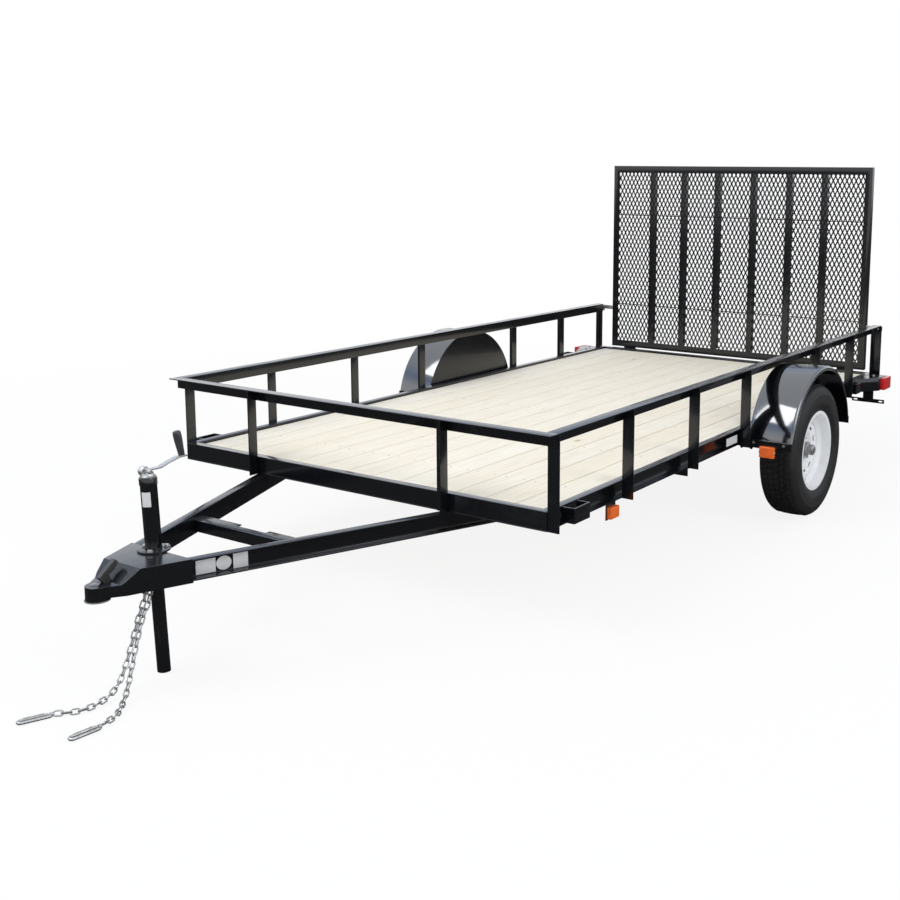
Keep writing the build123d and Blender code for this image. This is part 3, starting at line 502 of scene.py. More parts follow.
class Shape:
    """A mesh under construction."""

    def __init__(self) -> None:
        """Starts empty."""
        self.bm = bmesh.new()

    def prism(self, outline: Sequence[Point], axis: Axis, low: float, high: float) -> "Shape":
        """Adds an outline pushed along an axis.

        Args:
            outline: points in the other two directions, in their usual order.
            axis: direction of the push.
            low: where it starts.
            high: where it ends.

        Returns:
            This shape.
        """

        def place(a: float, b: float, t: float) -> Vector:
            """A point from its two outline parts and the third."""
            return Vector(((t, a, b), (a, t, b), (a, b, t))[axis.value])

        return self.between([place(a, b, low) for a, b in outline], [place(a, b, high) for a, b in outline])

    def between(self, near: Sequence[Point], far: Sequence[Point]) -> "Shape":
        """Adds the solid between two outlines with as many points each."""
        one = [self.bm.verts.new(point) for point in near]
        two = [self.bm.verts.new(point) for point in far]
        self.bm.faces.new(one)
        self.bm.faces.new(list(reversed(two)))
        for i in range(len(one)):
            j = (i + 1) % len(one)
            self.bm.faces.new((one[i], two[i], two[j], one[j]))
        return self

    def box(self, low: Point, high: Point) -> "Shape":
        """Adds a box between two corners."""
        (x0, y0, z0), (x1, y1, z1) = low, high
        return self.prism([(x0, y0), (x1, y0), (x1, y1), (x0, y1)], Axis.Z, z0, z1)

    def turned(self, outline: Sequence[Point], steps: int, place: Matrix, closed: bool = False) -> "Shape":
        """Adds an outline turned round the local X axis.

        Args:
            outline: pairs of place along the axis and radius.
            steps: parts of the full turn.
            place: puts the turned shape in the frame.
            closed: whether the outline's ends join.

        Returns:
            This shape.
        """
        rings = []
        for along, radius in outline:
            if radius < 1e-6:
                rings.append([self.bm.verts.new(place @ Vector((along, 0, 0)))] * steps)
                continue
            ring = []
            for k in range(steps):
                angle = 2 * math.pi * k / steps
                spot = Vector((along, radius * math.cos(angle), radius * math.sin(angle)))
                ring.append(self.bm.verts.new(place @ spot))
            rings.append(ring)
        pairs = list(zip(rings, rings[1:])) + ([(rings[-1], rings[0])] if closed else [])
        for one, two in pairs:
            for k in range(steps):
                j = (k + 1) % steps
                corners = []
                for vert in (one[k], one[j], two[j], two[k]):
                    if vert not in corners:
                        corners.append(vert)
                if len(corners) > 2:
                    self.bm.faces.new(corners)
        return self

    def tube(self, points: Sequence[Point], radius: float, sides: int = 8, ends: bool = True) -> "Shape":
        """Adds a round bar along points.

        Args:
            points: centres of the bar's rings.
            radius: of the bar.
            sides: faces round it.
            ends: whether it is capped.

        Returns:
            This shape.
        """
        line = [Vector(p) for p in points]
        angles = [2 * math.pi * k / sides for k in range(sides)]
        across: Vector | None = None
        rings = []
        for i, point in enumerate(line):
            ahead = (line[min(i + 1, len(line) - 1)] - line[max(i - 1, 0)]).normalized()
            if across is None:
                across = ahead.orthogonal().normalized()
            across = (across - ahead * across.dot(ahead)).normalized()
            other = ahead.cross(across)
            ways = [math.cos(a) * across + math.sin(a) * other for a in angles]
            rings.append([self.bm.verts.new(point + radius * way) for way in ways])
        return self._skin(rings, ends)

    def _skin(self, rings: Sequence[Sequence[bmesh.types.BMVert]], ends: bool) -> "Shape":
        """Joins rings of as many points each, and caps the two ends if asked to."""
        for one, two in zip(rings, rings[1:]):
            for i in range(len(one)):
                j = (i + 1) % len(one)
                self.bm.faces.new((one[i], one[j], two[j], two[i]))
        if ends:
            self.bm.faces.new(list(reversed(rings[0])))
            self.bm.faces.new(rings[-1])
        return self

    def arch(
        self, outline: Sequence[Point], place: Matrix, start: float, sweep: float, steps: int
    ) -> "Shape":
        """Adds a closed outline swept part of a turn round the local X axis.

        Args:
            outline: pairs of place along the axis and radius.
            place: puts the swept shape in the frame.
            start: angle of its first end, from local Y.
            sweep: angle between its ends.
            steps: parts of the sweep.

        Returns:
            This shape.
        """
        rings = []
        for k in range(steps + 1):
            angle = start + sweep * k / steps
            c, s = math.cos(angle), math.sin(angle)
            rings.append([self.bm.verts.new(place @ Vector((along, r * c, r * s))) for along, r in outline])
        return self._skin(rings, True)

    def copy_of(self, mesh: bpy.types.Mesh) -> "Shape":
        """Adds a merged copy of a mesh, with flat areas joined to single faces."""
        self.bm.from_mesh(mesh)
        bmesh.ops.remove_doubles(self.bm, verts=self.bm.verts, dist=2e-6)
        bmesh.ops.dissolve_limit(
            self.bm, angle_limit=math.radians(0.6), verts=self.bm.verts, edges=self.bm.edges
        )
        return self

    def round(self, width: float, steps: int = 2, angle: float = 30.0) -> "Shape":
        """Rounds the sharp edges.

        Args:
            width: of the rounding.
            steps: faces across it.
            angle: only edges sharper than this, in degrees.

        Returns:
            This shape.
        """
        self.outward()
        sharp = [e for e in self.bm.edges if e.is_manifold and e.calc_face_angle(0.0) > math.radians(angle)]
        bmesh.ops.bevel(
            self.bm, geom=sharp, offset=width, segments=steps, profile=0.7, affect="EDGES", clamp_overlap=True
        )
        return self

    def moved(self, place: Matrix) -> "Shape":
        """Moves all of it."""
        bmesh.ops.transform(self.bm, matrix=place, verts=self.bm.verts)
        return self

    def outward(self) -> "Shape":
        """Turns all faces outwards."""
        bmesh.ops.recalc_face_normals(self.bm, faces=self.bm.faces)
        return self

    def mesh(self, name: str, smooth: float = 40.0, keep_sides: bool = False) -> bpy.types.Mesh:
        """Ends the work.

        Args:
            name: of the mesh.
            smooth: edges flatter than this many degrees are shaded smooth.
            keep_sides: whether the faces already point the right way.

        Returns:
            The mesh.
        """
        if not keep_sides:
            self.outward()
        made = bpy.data.meshes.new(name)
        self.bm.to_mesh(made)
        self.bm.free()
        if len(made.polygons):
            made.shade_smooth()
            made.set_sharp_from_angle(angle=math.radians(smooth))
        return made


@dataclass
class Fitter:
    """Puts finished meshes on their bodies and reports them."""

    finishes: Finishes
    made: list[str] = field(default_factory=list)

    def fit(
        self,
        name: str,
        mesh: bpy.types.Mesh,
        body: str,
        material: bpy.types.Material | None,
        stands_for: Iterable[str] = (),
    ) -> bpy.types.Object:
        """Makes a piece of a mesh.

        Args:
            name: of the piece.
            mesh: in the frame's place.
            body: it rides on.
            material: its finish, or None where the mesh has its own.
            stands_for: CAD nodes that it replaces.

        Returns:
            The piece.
        """
        if material is not None:
            mesh.materials.clear()
            mesh.materials.append(material)
        piece = bpy.data.objects.new(name, mesh)
        bpy.context.scene.collection.objects.link(piece)
        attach(piece, body)
        nodes = list(stands_for)
        if nodes:
            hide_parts(*nodes)
        self.made.append(name)
        log.info("%s on %s, %d faces", name, body, len(mesh.polygons))
        return piece

    def dress(self, node: str, material: bpy.types.Material) -> None:
        """Gives a CAD node a finish."""
        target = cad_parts[node]
        for spot in target.material_slots:
            spot.material = material
        log.info("%s dressed in %s", node, material.name)


# ------------------------------------------------------------------ geometry nodes
class Loom:
    """A Geometry Nodes tree with named inputs that repeats a small shape."""

    KINDS = {
        "int": "NodeSocketInt",
        "float": "NodeSocketFloat",
        "vector": "NodeSocketVector",
        "object": "NodeSocketObject",
        "material": "NodeSocketMaterial",
    }

    def __init__(self, name: str, inputs: dict[str, str]) -> None:
        """Starts a tree.

        Args:
            name: of the tree.
            inputs: kind of each named input.
        """
        self.tree = bpy.data.node_groups.new(name, "GeometryNodeTree")
        face = self.tree.interface
        face.new_socket("Geometry", in_out="INPUT", socket_type="NodeSocketGeometry")
        face.new_socket("Geometry", in_out="OUTPUT", socket_type="NodeSocketGeometry")
        for key, kind in inputs.items():
            face.new_socket(key, in_out="INPUT", socket_type=self.KINDS[kind])
        self.start = self.tree.nodes.new("NodeGroupInput")
        self.end = self.tree.nodes.new("NodeGroupOutput")

    def given(self, name: str) -> Any:
        """Socket of a named input."""
        return self.start.outputs[name]

    def add(self, kind: str, settings: dict[str, Any], inputs: dict[Any, Any]) -> Any:
        """Adds a node.

        Args:
            kind: the node's type.
            settings: its properties, set first.
            inputs: values or sockets by name or number.

        Returns:
            The node.
        """
        made = self.tree.nodes.new(kind)
        for key, value in settings.items():
            setattr(made, key, value)
        for key, value in inputs.items():
            if isinstance(value, bpy.types.NodeSocket):
                self.tree.links.new(value, made.inputs[key])
            else:
                made.inputs[key].default_value = value
        return made

    def rolled(self, rotation: Any, angle: Any) -> Any:
        """A rotation with a roll about the copy's own Z axis before it."""
        about = self.add("ShaderNodeCombineXYZ", {}, {2: angle})
        roll = self.add("FunctionNodeEulerToRotation", {}, {0: about.outputs[0]})
        both = self.add(
            "FunctionNodeRotateRotation", {"rotation_space": "LOCAL"}, {0: rotation, 1: roll.outputs[0]}
        )
        return both.outputs[0]

    def copies(self, points: Any, **sockets: Any) -> "Loom":
        """Ends the tree with one copy of the Shape on each point.

        Args:
            points: geometry that has the points.
            sockets: more inputs of the copies, such as Rotation.

        Returns:
            The tree.
        """
        shape = self.add("GeometryNodeObjectInfo", {}, {"Object": self.given("Shape")})
        inputs = {"Points": points, "Instance": shape.outputs["Geometry"], **sockets}
        return self.close(self.add("GeometryNodeInstanceOnPoints", {}, inputs).outputs[0])

    def close(self, geometry: Any) -> "Loom":
        """Ends the tree with real faces and one material."""
        real = self.add("GeometryNodeRealizeInstances", {}, {0: geometry})
        dressed = self.add(
            "GeometryNodeSetMaterial", {}, {"Geometry": real.outputs[0], "Material": self.given("Finish")}
        )
        self.tree.links.new(dressed.outputs[0], self.end.inputs[0])
        return self

    def run(self, name: str, base: bpy.types.ID | None, values: dict[str, Any]) -> bpy.types.Mesh:
        """Runs the tree.

        Args:
            name: of the result.
            base: mesh or curve that it starts from, or None.
            values: of the named inputs.

        Returns:
            A plain mesh.
        """
        holder = bpy.data.objects.new(name + "_loom", base if base is not None else bpy.data.meshes.new(name))
        bpy.context.scene.collection.objects.link(holder)
        change = holder.modifiers.new("loom", "NODES")
        change.node_group = self.tree
        named = {s.name: s.identifier for s in self.tree.interface.items_tree if s.in_out == "INPUT"}
        for key, value in values.items():
            change[named[key]] = value
        holder.update_tag()
        bpy.context.view_layer.update()
        seen = holder.evaluated_get(bpy.context.evaluated_depsgraph_get())
        made = bpy.data.meshes.new_from_object(seen)
        made.name = name
        bpy.data.objects.remove(holder)
        return made


class Looms:
    """The trees used on the trailer, and the small shapes that they repeat."""

    def __init__(self) -> None:
        """Builds every tree."""
        self.spots = self._spots()
        self.rows = self._rows()
        self.ring = self._ring()
        self.beads = self._beads()

    @staticmethod
    def template(name: str, mesh: bpy.types.Mesh) -> bpy.types.Object:
        """An object that isn't in the scene, for a tree to repeat."""
        return bpy.data.objects.new(name, mesh)

    @staticmethod
    def _spots() -> Loom:
        """One copy on each vertex, turned by the vertex's "turn" and spun by a seeded chance."""
        loom = Loom("copies_on_spots", {"Shape": "object", "Spin": "float", "Finish": "material"})
        turn = loom.add("GeometryNodeInputNamedAttribute", {"data_type": "FLOAT_VECTOR"}, {"Name": "turn"})
        spun = loom.add(
            "FunctionNodeRandomValue", {"data_type": "FLOAT"}, {2: 0.0, 3: loom.given("Spin"), "Seed": 7}
        )
        first = loom.add("FunctionNodeEulerToRotation", {}, {0: turn.outputs[0]})
        rotation = loom.rolled(first.outputs[0], spun.outputs[1])
        return loom.copies(loom.given("Geometry"), Rotation=rotation)

    @staticmethod
    def _rows() -> Loom:
        """Copies in rows and columns about a centre, in the XY plane."""
        loom = Loom(
            "rows_and_columns",
            {
                "Shape": "object",
                "Columns": "int",
                "Rows": "int",
                "Width": "float",
                "Length": "float",
                "Centre": "vector",
                "Finish": "material",
            },
        )
        grid = loom.add(
            "GeometryNodeMeshGrid",
            {},
            {
                "Size X": loom.given("Width"),
                "Size Y": loom.given("Length"),
                "Vertices X": loom.given("Columns"),
                "Vertices Y": loom.given("Rows"),
            },
        )
        moved = loom.add(
            "GeometryNodeTransform", {}, {"Geometry": grid.outputs[0], "Translation": loom.given("Centre")}
        )
        return loom.copies(moved.outputs[0])

    @staticmethod
    def _ring() -> Loom:
        """Copies round the X axis, each turned with its place on the ring."""
        loom = Loom(
            "copies_round_axle",
            {"Shape": "object", "Count": "int", "Start": "float", "Centre": "vector", "Finish": "material"},
        )
        line = loom.add(
            "GeometryNodeMeshLine", {"mode": "OFFSET"}, {"Count": loom.given("Count"), "Offset": (0, 0, 0)}
        )
        moved = loom.add(
            "GeometryNodeTransform", {}, {"Geometry": line.outputs[0], "Translation": loom.given("Centre")}
        )
        index = loom.add("GeometryNodeInputIndex", {}, {})
        part = loom.add(
            "ShaderNodeMath", {"operation": "DIVIDE"}, {0: index.outputs[0], 1: loom.given("Count")}
        )
        angle = loom.add(
            "ShaderNodeMath",
            {"operation": "MULTIPLY_ADD"},
            {0: part.outputs[0], 1: 2 * math.pi, 2: loom.given("Start")},
        )
        turn = loom.add("ShaderNodeCombineXYZ", {}, {0: angle.outputs[0]})
        return loom.copies(moved.outputs[0], Rotation=turn.outputs[0])

    @staticmethod
    def _beads() -> Loom:
        """Copies along a line, every second one turned a quarter, as chain links are."""
        loom = Loom(
            "links_on_line", {"Shape": "object", "Count": "int", "Roll": "float", "Finish": "material"}
        )
        inside = loom.add(
            "GeometryNodeTrimCurve", {"mode": "FACTOR"}, {0: loom.given("Geometry"), 2: 0.022, 3: 0.978}
        )
        points = loom.add(
            "GeometryNodeCurveToPoints",
            {"mode": "COUNT"},
            {"Curve": inside.outputs[0], "Count": loom.given("Count")},
        )
        index = loom.add("GeometryNodeInputIndex", {}, {})
        odd = loom.add("ShaderNodeMath", {"operation": "MODULO"}, {0: index.outputs[0], 1: 2.0})
        roll = loom.add(
            "ShaderNodeMath",
            {"operation": "MULTIPLY_ADD"},
            {0: odd.outputs[0], 1: math.pi / 2, 2: loom.given("Roll")},
        )
        rotation = loom.rolled(points.outputs["Rotation"], roll.outputs[0])
        return loom.copies(points.outputs[0], Rotation=rotation)

    def on_spots(
        self,
        name: str,
        shape: bpy.types.Object,
        spots: Sequence[tuple[Point, Point]],
        finish: bpy.types.Material,
        spin: float = 1.0,
    ) -> bpy.types.Mesh:
        """Copies a shape to spots.

        Args:
            name: of the result.
            shape: with its own axis along Z.
            spots: place and direction of each copy.
            finish: its material.
            spin: largest turn about its own axis, in radians.

        Returns:
            The mesh.
        """
        base = bpy.data.meshes.new(name + "_spots")
        base.from_pydata([tuple(place) for place, _ in spots], [], [])
        turn = base.attributes.new("turn", "FLOAT_VECTOR", "POINT")
        for i, (_, way) in enumerate(spots):
            turn.data[i].vector = Vector(way).to_track_quat("Z", "Y").to_euler()
        return self.spots.run(name, base, {"Shape": shape, "Spin": spin, "Finish": finish})


# ------------------------------------------------------------------ studio
@dataclass
class Studio:
    """Floor, lamps, world and camera."""

    picture_px: float = 900.0
    lens_px: float = 1181.24
    centre_px: tuple[float, float] = (567.32, 352.28)
    sensor_mm: float = 36.0
    azimuth: float = 32.54
    elevation: float = 8.83
    roll: float = 0.45
    stand: tuple[float, float, float] = (3.2802, FRONT - 3.47647, 1.74426)
    sky_strength: float = 1.25
    floor_half: float = 60.0
    floor_drop: float = 0.0005
    shadow_reach: float = 3.2
    shadow_fade: float = 3.5
    floor_white: float = 0.87
    floor_dim: float = 0.93

    def build(self) -> None:
        """Makes the studio."""
        self._camera()
        self._world()
        self._lamps()
        self._floor()

    def _camera(self) -> None:
        """Stands the camera and gives it the picture's frame."""
        data = bpy.data.cameras.new("camera")
        data.sensor_width = self.sensor_mm
        data.sensor_fit = "HORIZONTAL"
        data.lens = self.lens_px / self.picture_px * self.sensor_mm
        middle = self.picture_px / 2
        data.shift_x = (middle - self.centre_px[0]) / self.picture_px
        data.shift_y = (self.centre_px[1] - middle) / self.picture_px
        data.clip_start, data.clip_end = 0.05, 200.0
        camera = bpy.data.objects.new("camera", data)
        bpy.context.scene.collection.objects.link(camera)
        a, e = math.radians(self.azimuth), math.radians(self.elevation)
        ahead = Vector((-math.sin(a) * math.cos(e), math.cos(a) * math.cos(e), -math.sin(e)))
        turn = ahead.to_track_quat("-Z", "Y").to_matrix()
        spun = turn @ Matrix.Rotation(math.radians(self.roll), 3, "Z")
        camera.matrix_world = Matrix.Translation(self.stand) @ spun.to_4x4()
        bpy.context.scene.camera = camera

    def _world(self) -> None:
        """White to the eye, neutral light on matt surfaces, blue sky over a bright rim in glossy ones."""
        world = bpy.data.worlds.new("studio")
        bpy.context.scene.world = world
        world.use_nodes = True
        tree = world.node_tree
        tree.nodes.clear()
        link = tree.links.new
        out = tree.nodes.new("ShaderNodeOutputWorld")
        rays = tree.nodes.new("ShaderNodeLightPath")
        place = tree.nodes.new("ShaderNodeTexCoord")
        parts = tree.nodes.new("ShaderNodeSeparateXYZ")
        link(place.outputs["Generated"], parts.inputs[0])
        soft = ((0.0, (0.5, 0.5, 0.5)), (0.3, (0.78, 0.79, 0.81)), (1.0, (0.84, 0.86, 0.9)))
        sky = (
            (0.0, (0.02, 0.02, 0.024)),
            (0.012, (0.55, 0.56, 0.6)),
            (0.06, (1.0, 1.0, 1.0)),
            (0.3, (0.86, 0.9, 0.96)),
            (0.46, (0.42, 0.54, 0.8)),
            (0.66, (0.72, 0.79, 0.9)),
            (1.0, (0.86, 0.89, 0.93)),
        )
        lights = []
        for stops in (soft, sky):
            ramp = tree.nodes.new("ShaderNodeValToRGB")
            while len(ramp.color_ramp.elements) < len(stops):
                ramp.color_ramp.elements.new(0.5)
            for stop, (at, colour) in zip(ramp.color_ramp.elements, stops):
                stop.position = at
                stop.color = (*colour, 1.0)
            light = tree.nodes.new("ShaderNodeBackground")
            link(parts.outputs[2], ramp.inputs[0])
            link(ramp.outputs[0], light.inputs[0])
            lights.append(light)
        lights[1].inputs[1].default_value = self.sky_strength
        plain = tree.nodes.new("ShaderNodeBackground")
        plain.inputs[0].default_value = (1, 1, 1, 1)
        glossy = tree.nodes.new("ShaderNodeMixShader")
        seen = tree.nodes.new("ShaderNodeMixShader")
        link(rays.outputs["Is Glossy Ray"], glossy.inputs[0])
        link(lights[0].outputs[0], glossy.inputs[1])
        link(lights[1].outputs[0], glossy.inputs[2])
        link(rays.outputs["Is Camera Ray"], seen.inputs[0])
        link(glossy.outputs[0], seen.inputs[1])
        link(plain.outputs[0], seen.inputs[2])
        link(seen.outputs[0], out.inputs[0])

    @staticmethod
    def _lamps() -> None:
        """One broad soft key above and one fill from the side."""
        # columns: name, place, aim, size, watts
        table = (
            ("key", (-3.5, -6.0, 8.5), (0.0, 0.3, 0.4), 5.0, 420.0),
            ("side", (7.5, -1.0, 5.0), (0.0, 0.5, 0.5), 4.0, 160.0),
        )
        for name, place, aim, size, watts in table:
            lamp = bpy.data.lights.new(name, "AREA")
            lamp.size = size
            lamp.energy = watts
            holder = bpy.data.objects.new(name, lamp)
            bpy.context.scene.collection.objects.link(holder)
            holder.location = place
            holder.rotation_euler = (Vector(aim) - Vector(place)).to_track_quat("-Z", "Y").to_euler()

    def _floor(self) -> None:
        """A pale floor that keeps the shadow, turns to plain white far out and stays dim in reflections."""
        shader = Shader("studio_floor")
        shader.put(Base_Color=(0.8, 0.8, 0.8), Roughness=0.9, Specular_IOR_Level=0.0)
        glow = shader.node("ShaderNodeEmission", {}, {"Color": (1, 1, 1, 1), "Strength": 1.0})
        dim = shader.node("ShaderNodeEmission", {}, {"Color": (0.02, 0.02, 0.023, 1), "Strength": 1.0})
        rays = shader.node("ShaderNodeLightPath", {}, {})
        x, y, _ = shader.split(shader.place)
        far = (((x * x + y * y) ** 0.5 - self.shadow_reach) / self.shadow_fade).clamp()
        seen = Value(shader, rays.outputs["Is Camera Ray"])
        white = seen * (self.floor_white + (1.0 - self.floor_white) * far)
        pick = shader.node("ShaderNodeMixShader", {}, {0: white})
        glossy = Value(shader, rays.outputs["Is Glossy Ray"])
        last = shader.node("ShaderNodeMixShader", {}, {0: glossy * self.floor_dim})
        link = shader.tree.links.new
        link(shader.principled.outputs[0], pick.inputs[1])
        link(glow.outputs[0], pick.inputs[2])
        link(pick.outputs[0], last.inputs[1])
        link(dim.outputs[0], last.inputs[2])
        link(last.outputs[0], shader.out.inputs[0])
        shape = Shape()
        signs = ((-1, -1), (1, -1), (1, 1), (-1, 1))
        corners = [(a * self.floor_half, b * self.floor_half, -self.floor_drop) for a, b in signs]
        shape.bm.faces.new([shape.bm.verts.new(corner) for corner in corners])
        mesh = shape.mesh("floor", keep_sides=True)
        mesh.materials.append(shader.material)
        floor = bpy.data.objects.new("floor", mesh)
        bpy.context.scene.collection.objects.link(floor)


# ------------------------------------------------------------------ steelwork taken over from the frame
@dataclass
class Steelwork:
    """Rolled sections: the frame's own shapes with the rounded edges of real steel."""

    edge: float = 0.0014
    # columns: node, body, edge factor
    table: tuple[tuple[str, str, float], ...] = (
        ("frame_sides", "chassis", 1.3),
        ("frame_ends", "chassis", 1.3),
        ("deck_bearers", "chassis", 1.0),
        ("under_beam", "chassis", 1.0),
        ("front_rail", "chassis", 1.1),
        ("side_rails", "chassis", 1.1),
        ("side_posts", "chassis", 1.0),
        ("front_posts", "chassis", 1.0),
        ("tongue_beams", "chassis", 1.3),
        ("tongue_cross", "chassis", 1.0),
        ("fender_plates", "chassis", 0.6),
        ("light_brackets", "chassis", 0.5),
        ("stake_pockets", "chassis", 1.2),
        ("gate_frame", "ramp_gate", 0.9),
        ("gate_bars", "ramp_gate", 0.9),
    )
    plain: tuple[str, ...] = ("jack_tube", "jack_leg")
    # plate that closes the front cross channel: its two faces behind the front, and its inset
    plate_from: float = 0.0006
    plate_to: float = 0.0045
    plate_inset: float = 0.004

    def build(self, fitter: Fitter) -> None:
        """Makes each piece."""
        paint = fitter.finishes.enamel
        for node, body, factor in self.table:
            shape = Shape().copy_of(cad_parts[node].data).round(self.edge * factor)
            if node == "frame_ends":
                shape.box(
                    (-HALF, FRONT + self.plate_from, FRAME_LOW + self.plate_inset),
                    (HALF, FRONT + self.plate_to, FRAME_TOP - self.plate_inset),
                )
            mesh = shape.mesh(node + "_steel", 35.0)
            fitter.fit(node + "_steel", mesh, body, paint, [node])
        for node in self.plain:
            fitter.dress(node, paint)


# ------------------------------------------------------------------ safety chains
def oval(length: float, width: float, steps: int = 7) -> list[tuple[float, float]]:
    """Points round a long loop.

    Args:
        length: over the points, along the first direction.
        width: over the points, along the second.
        steps: points on each round end.

    Returns:
        Pairs in the loop's plane.
    """
    radius = width / 2
    run = length / 2 - radius
    points = []
    for end in (1, -1):
        for k in range(steps):
            angle = -math.pi / 2 + math.pi * k / (steps - 1)
            points.append((end * (run + radius * math.cos(angle)), end * radius * math.sin(angle)))
    return points


@dataclass
class SafetyChain:
    """A welded chain that hangs from the strap under the tongue, with a hook on the floor."""

    side: str
    route: tuple[Point, ...]
    heading: tuple[float, float]
    length: float
    gauge: float = 0.019
    wire: float = 0.0058
    spacing: float = 0.0246

    def line(self) -> bpy.types.Curve:
        """The chain's own line, with the route's points as control points."""
        curve = bpy.data.curves.new(f"chain_{self.side}_line", "CURVE")
        curve.dimensions = "3D"
        curve.resolution_u = 20
        spline = curve.splines.new("NURBS")
        spline.points.add(len(self.route) - 1)
        for point, (x, along, z) in zip(spline.points, self.route):
            point.co = (x, FRONT + along, z, 1.0)
        spline.order_u = 3
        spline.use_endpoint_u = True
        return curve

    def read(self, curve: bpy.types.Curve) -> list[Vector]:
        """Points along the line."""
        holder = bpy.data.objects.new("chain_reader", curve)
        bpy.context.scene.collection.objects.link(holder)
        bpy.context.view_layer.update()
        seen = holder.evaluated_get(bpy.context.evaluated_depsgraph_get())
        mesh = bpy.data.meshes.new_from_object(seen)
        points = [v.co.copy() for v in mesh.vertices]
        bpy.data.objects.remove(holder)
        return points

    def link(self) -> bpy.types.Object:
        """One link, its long way along Z."""
        loop = oval(self.spacing + self.wire, 0.0222 - self.wire, 9)
        points = [(v, 0.0, u) for u, v in loop]
        shape = Shape().tube(points + [points[0]], self.wire / 2, 7, ends=False)
        return Looms.template(f"link_{self.side}", shape.mesh("link"))

    def hook(self) -> bpy.types.Mesh:
        """A forged loop hook with a spring latch."""
        x, along, z = self.route[-1]
        before = self.route[-2]
        ahead = Vector((x - before[0], along - before[1], 0)).normalized()
        centre = Vector((x, FRONT + along, 0.0)) + ahead * 0.008
        u = Vector((*self.heading, 0)).normalized()
        v = Vector((-u.y, u.x, 0))

        def spot(a: float, b: float, high: float = 0.0067) -> Vector:
            """A point on the floor near the chain's end."""
            return centre + (a + 0.05) * u + b * v + Vector((0, 0, high))

        loop = oval(0.1, 0.02, 9)
        body = [spot(a, b) for a, b in loop]
        shape = Shape().tube(body + [body[0]], 0.0051, 10)
        shape.tube([spot(-0.03, -0.0095, 0.012), spot(0.032, -0.0095, 0.012)], 0.0026, 6)
        end = Matrix.Translation(spot(-0.05, 0.0, 0.0085)) @ u.to_track_quat("X", "Z").to_matrix().to_4x4()
        shape.turned([(-0.0045, 0.0075), (0.0045, 0.0075), (0.0045, 0.0), (-0.0045, 0.0)], 12, end)
        return shape.mesh(f"chain_hook_{self.side}")

    def build(self, fitter: Fitter, looms: Looms) -> None:
        """Makes the chain and its hook."""
        zinc = fitter.finishes.zinc
        name = f"chain_{self.side}"
        curve = self.line()
        points = self.read(curve)
        far = sum((b - a).length for a, b in zip(points, points[1:]))
        count = int(0.956 * far / self.spacing) + 1
        links = looms.beads.run(
            name + "_links", curve, {"Shape": self.link(), "Count": count, "Roll": 0.4, "Finish": zinc}
        )
        chain = fitter.fit(name + "_links", links, "chassis", None, [name])
        hook = fitter.fit(
            f"chain_hook_{self.side}", self.hook(), "chassis", zinc, ["chain_hooks"]
        )


# ------------------------------------------------------------------ deck
@dataclass
class Deck:
    """Thirteen boards with eased edges, screwed to the bearers."""

    boards: int = 13
    pitch: float = 0.14454
    width: float = 0.13954
    length: float = 3.582
    low: float = 0.4612
    top: float = 0.4932
    bearers: int = 6
    bearer_first: float = 0.35
    bearer_pitch: float = 0.61

    def build(self, fitter: Fitter, looms: Looms) -> None:
        """Makes the boards and their screws."""
        shape = Shape()
        y0 = FRONT + (BED - self.length) / 2
        for i in range(self.boards):
            x = (i - (self.boards - 1) / 2) * self.pitch
            shape.box((x - self.width / 2, y0, self.low), (x + self.width / 2, y0 + self.length, self.top))
        boards = shape.round(0.0028, 3).mesh("boards")
        fitter.fit("boards", boards, "chassis", fitter.finishes.pine, ["deck_boards"])
        head = Shape().turned(
            [(-0.001, 0.0042), (0.0002, 0.0042), (0.0003, 0.0036), (-0.0002, 0.002), (-0.0002, 0.0)],
            10,
            Matrix.Rotation(-math.pi / 2, 4, "Y"),
        )
        screw = Looms.template("screw", head.mesh("screw"))
        run = (self.bearers - 1) * self.bearer_pitch
        for name, aside in (("screws_left", 0.045), ("screws_right", -0.045)):
            mesh = looms.rows.run(
                name,
                None,
                {
                    "Shape": screw,
                    "Columns": self.boards,
                    "Rows": self.bearers,
                    "Width": (self.boards - 1) * self.pitch,
                    "Length": run,
                    "Centre": (aside, FRONT + self.bearer_first + run / 2 + 0.02, self.top),
                    "Finish": fitter.finishes.cast,
                },
            )
            fitter.fit(name, mesh, "chassis", None)


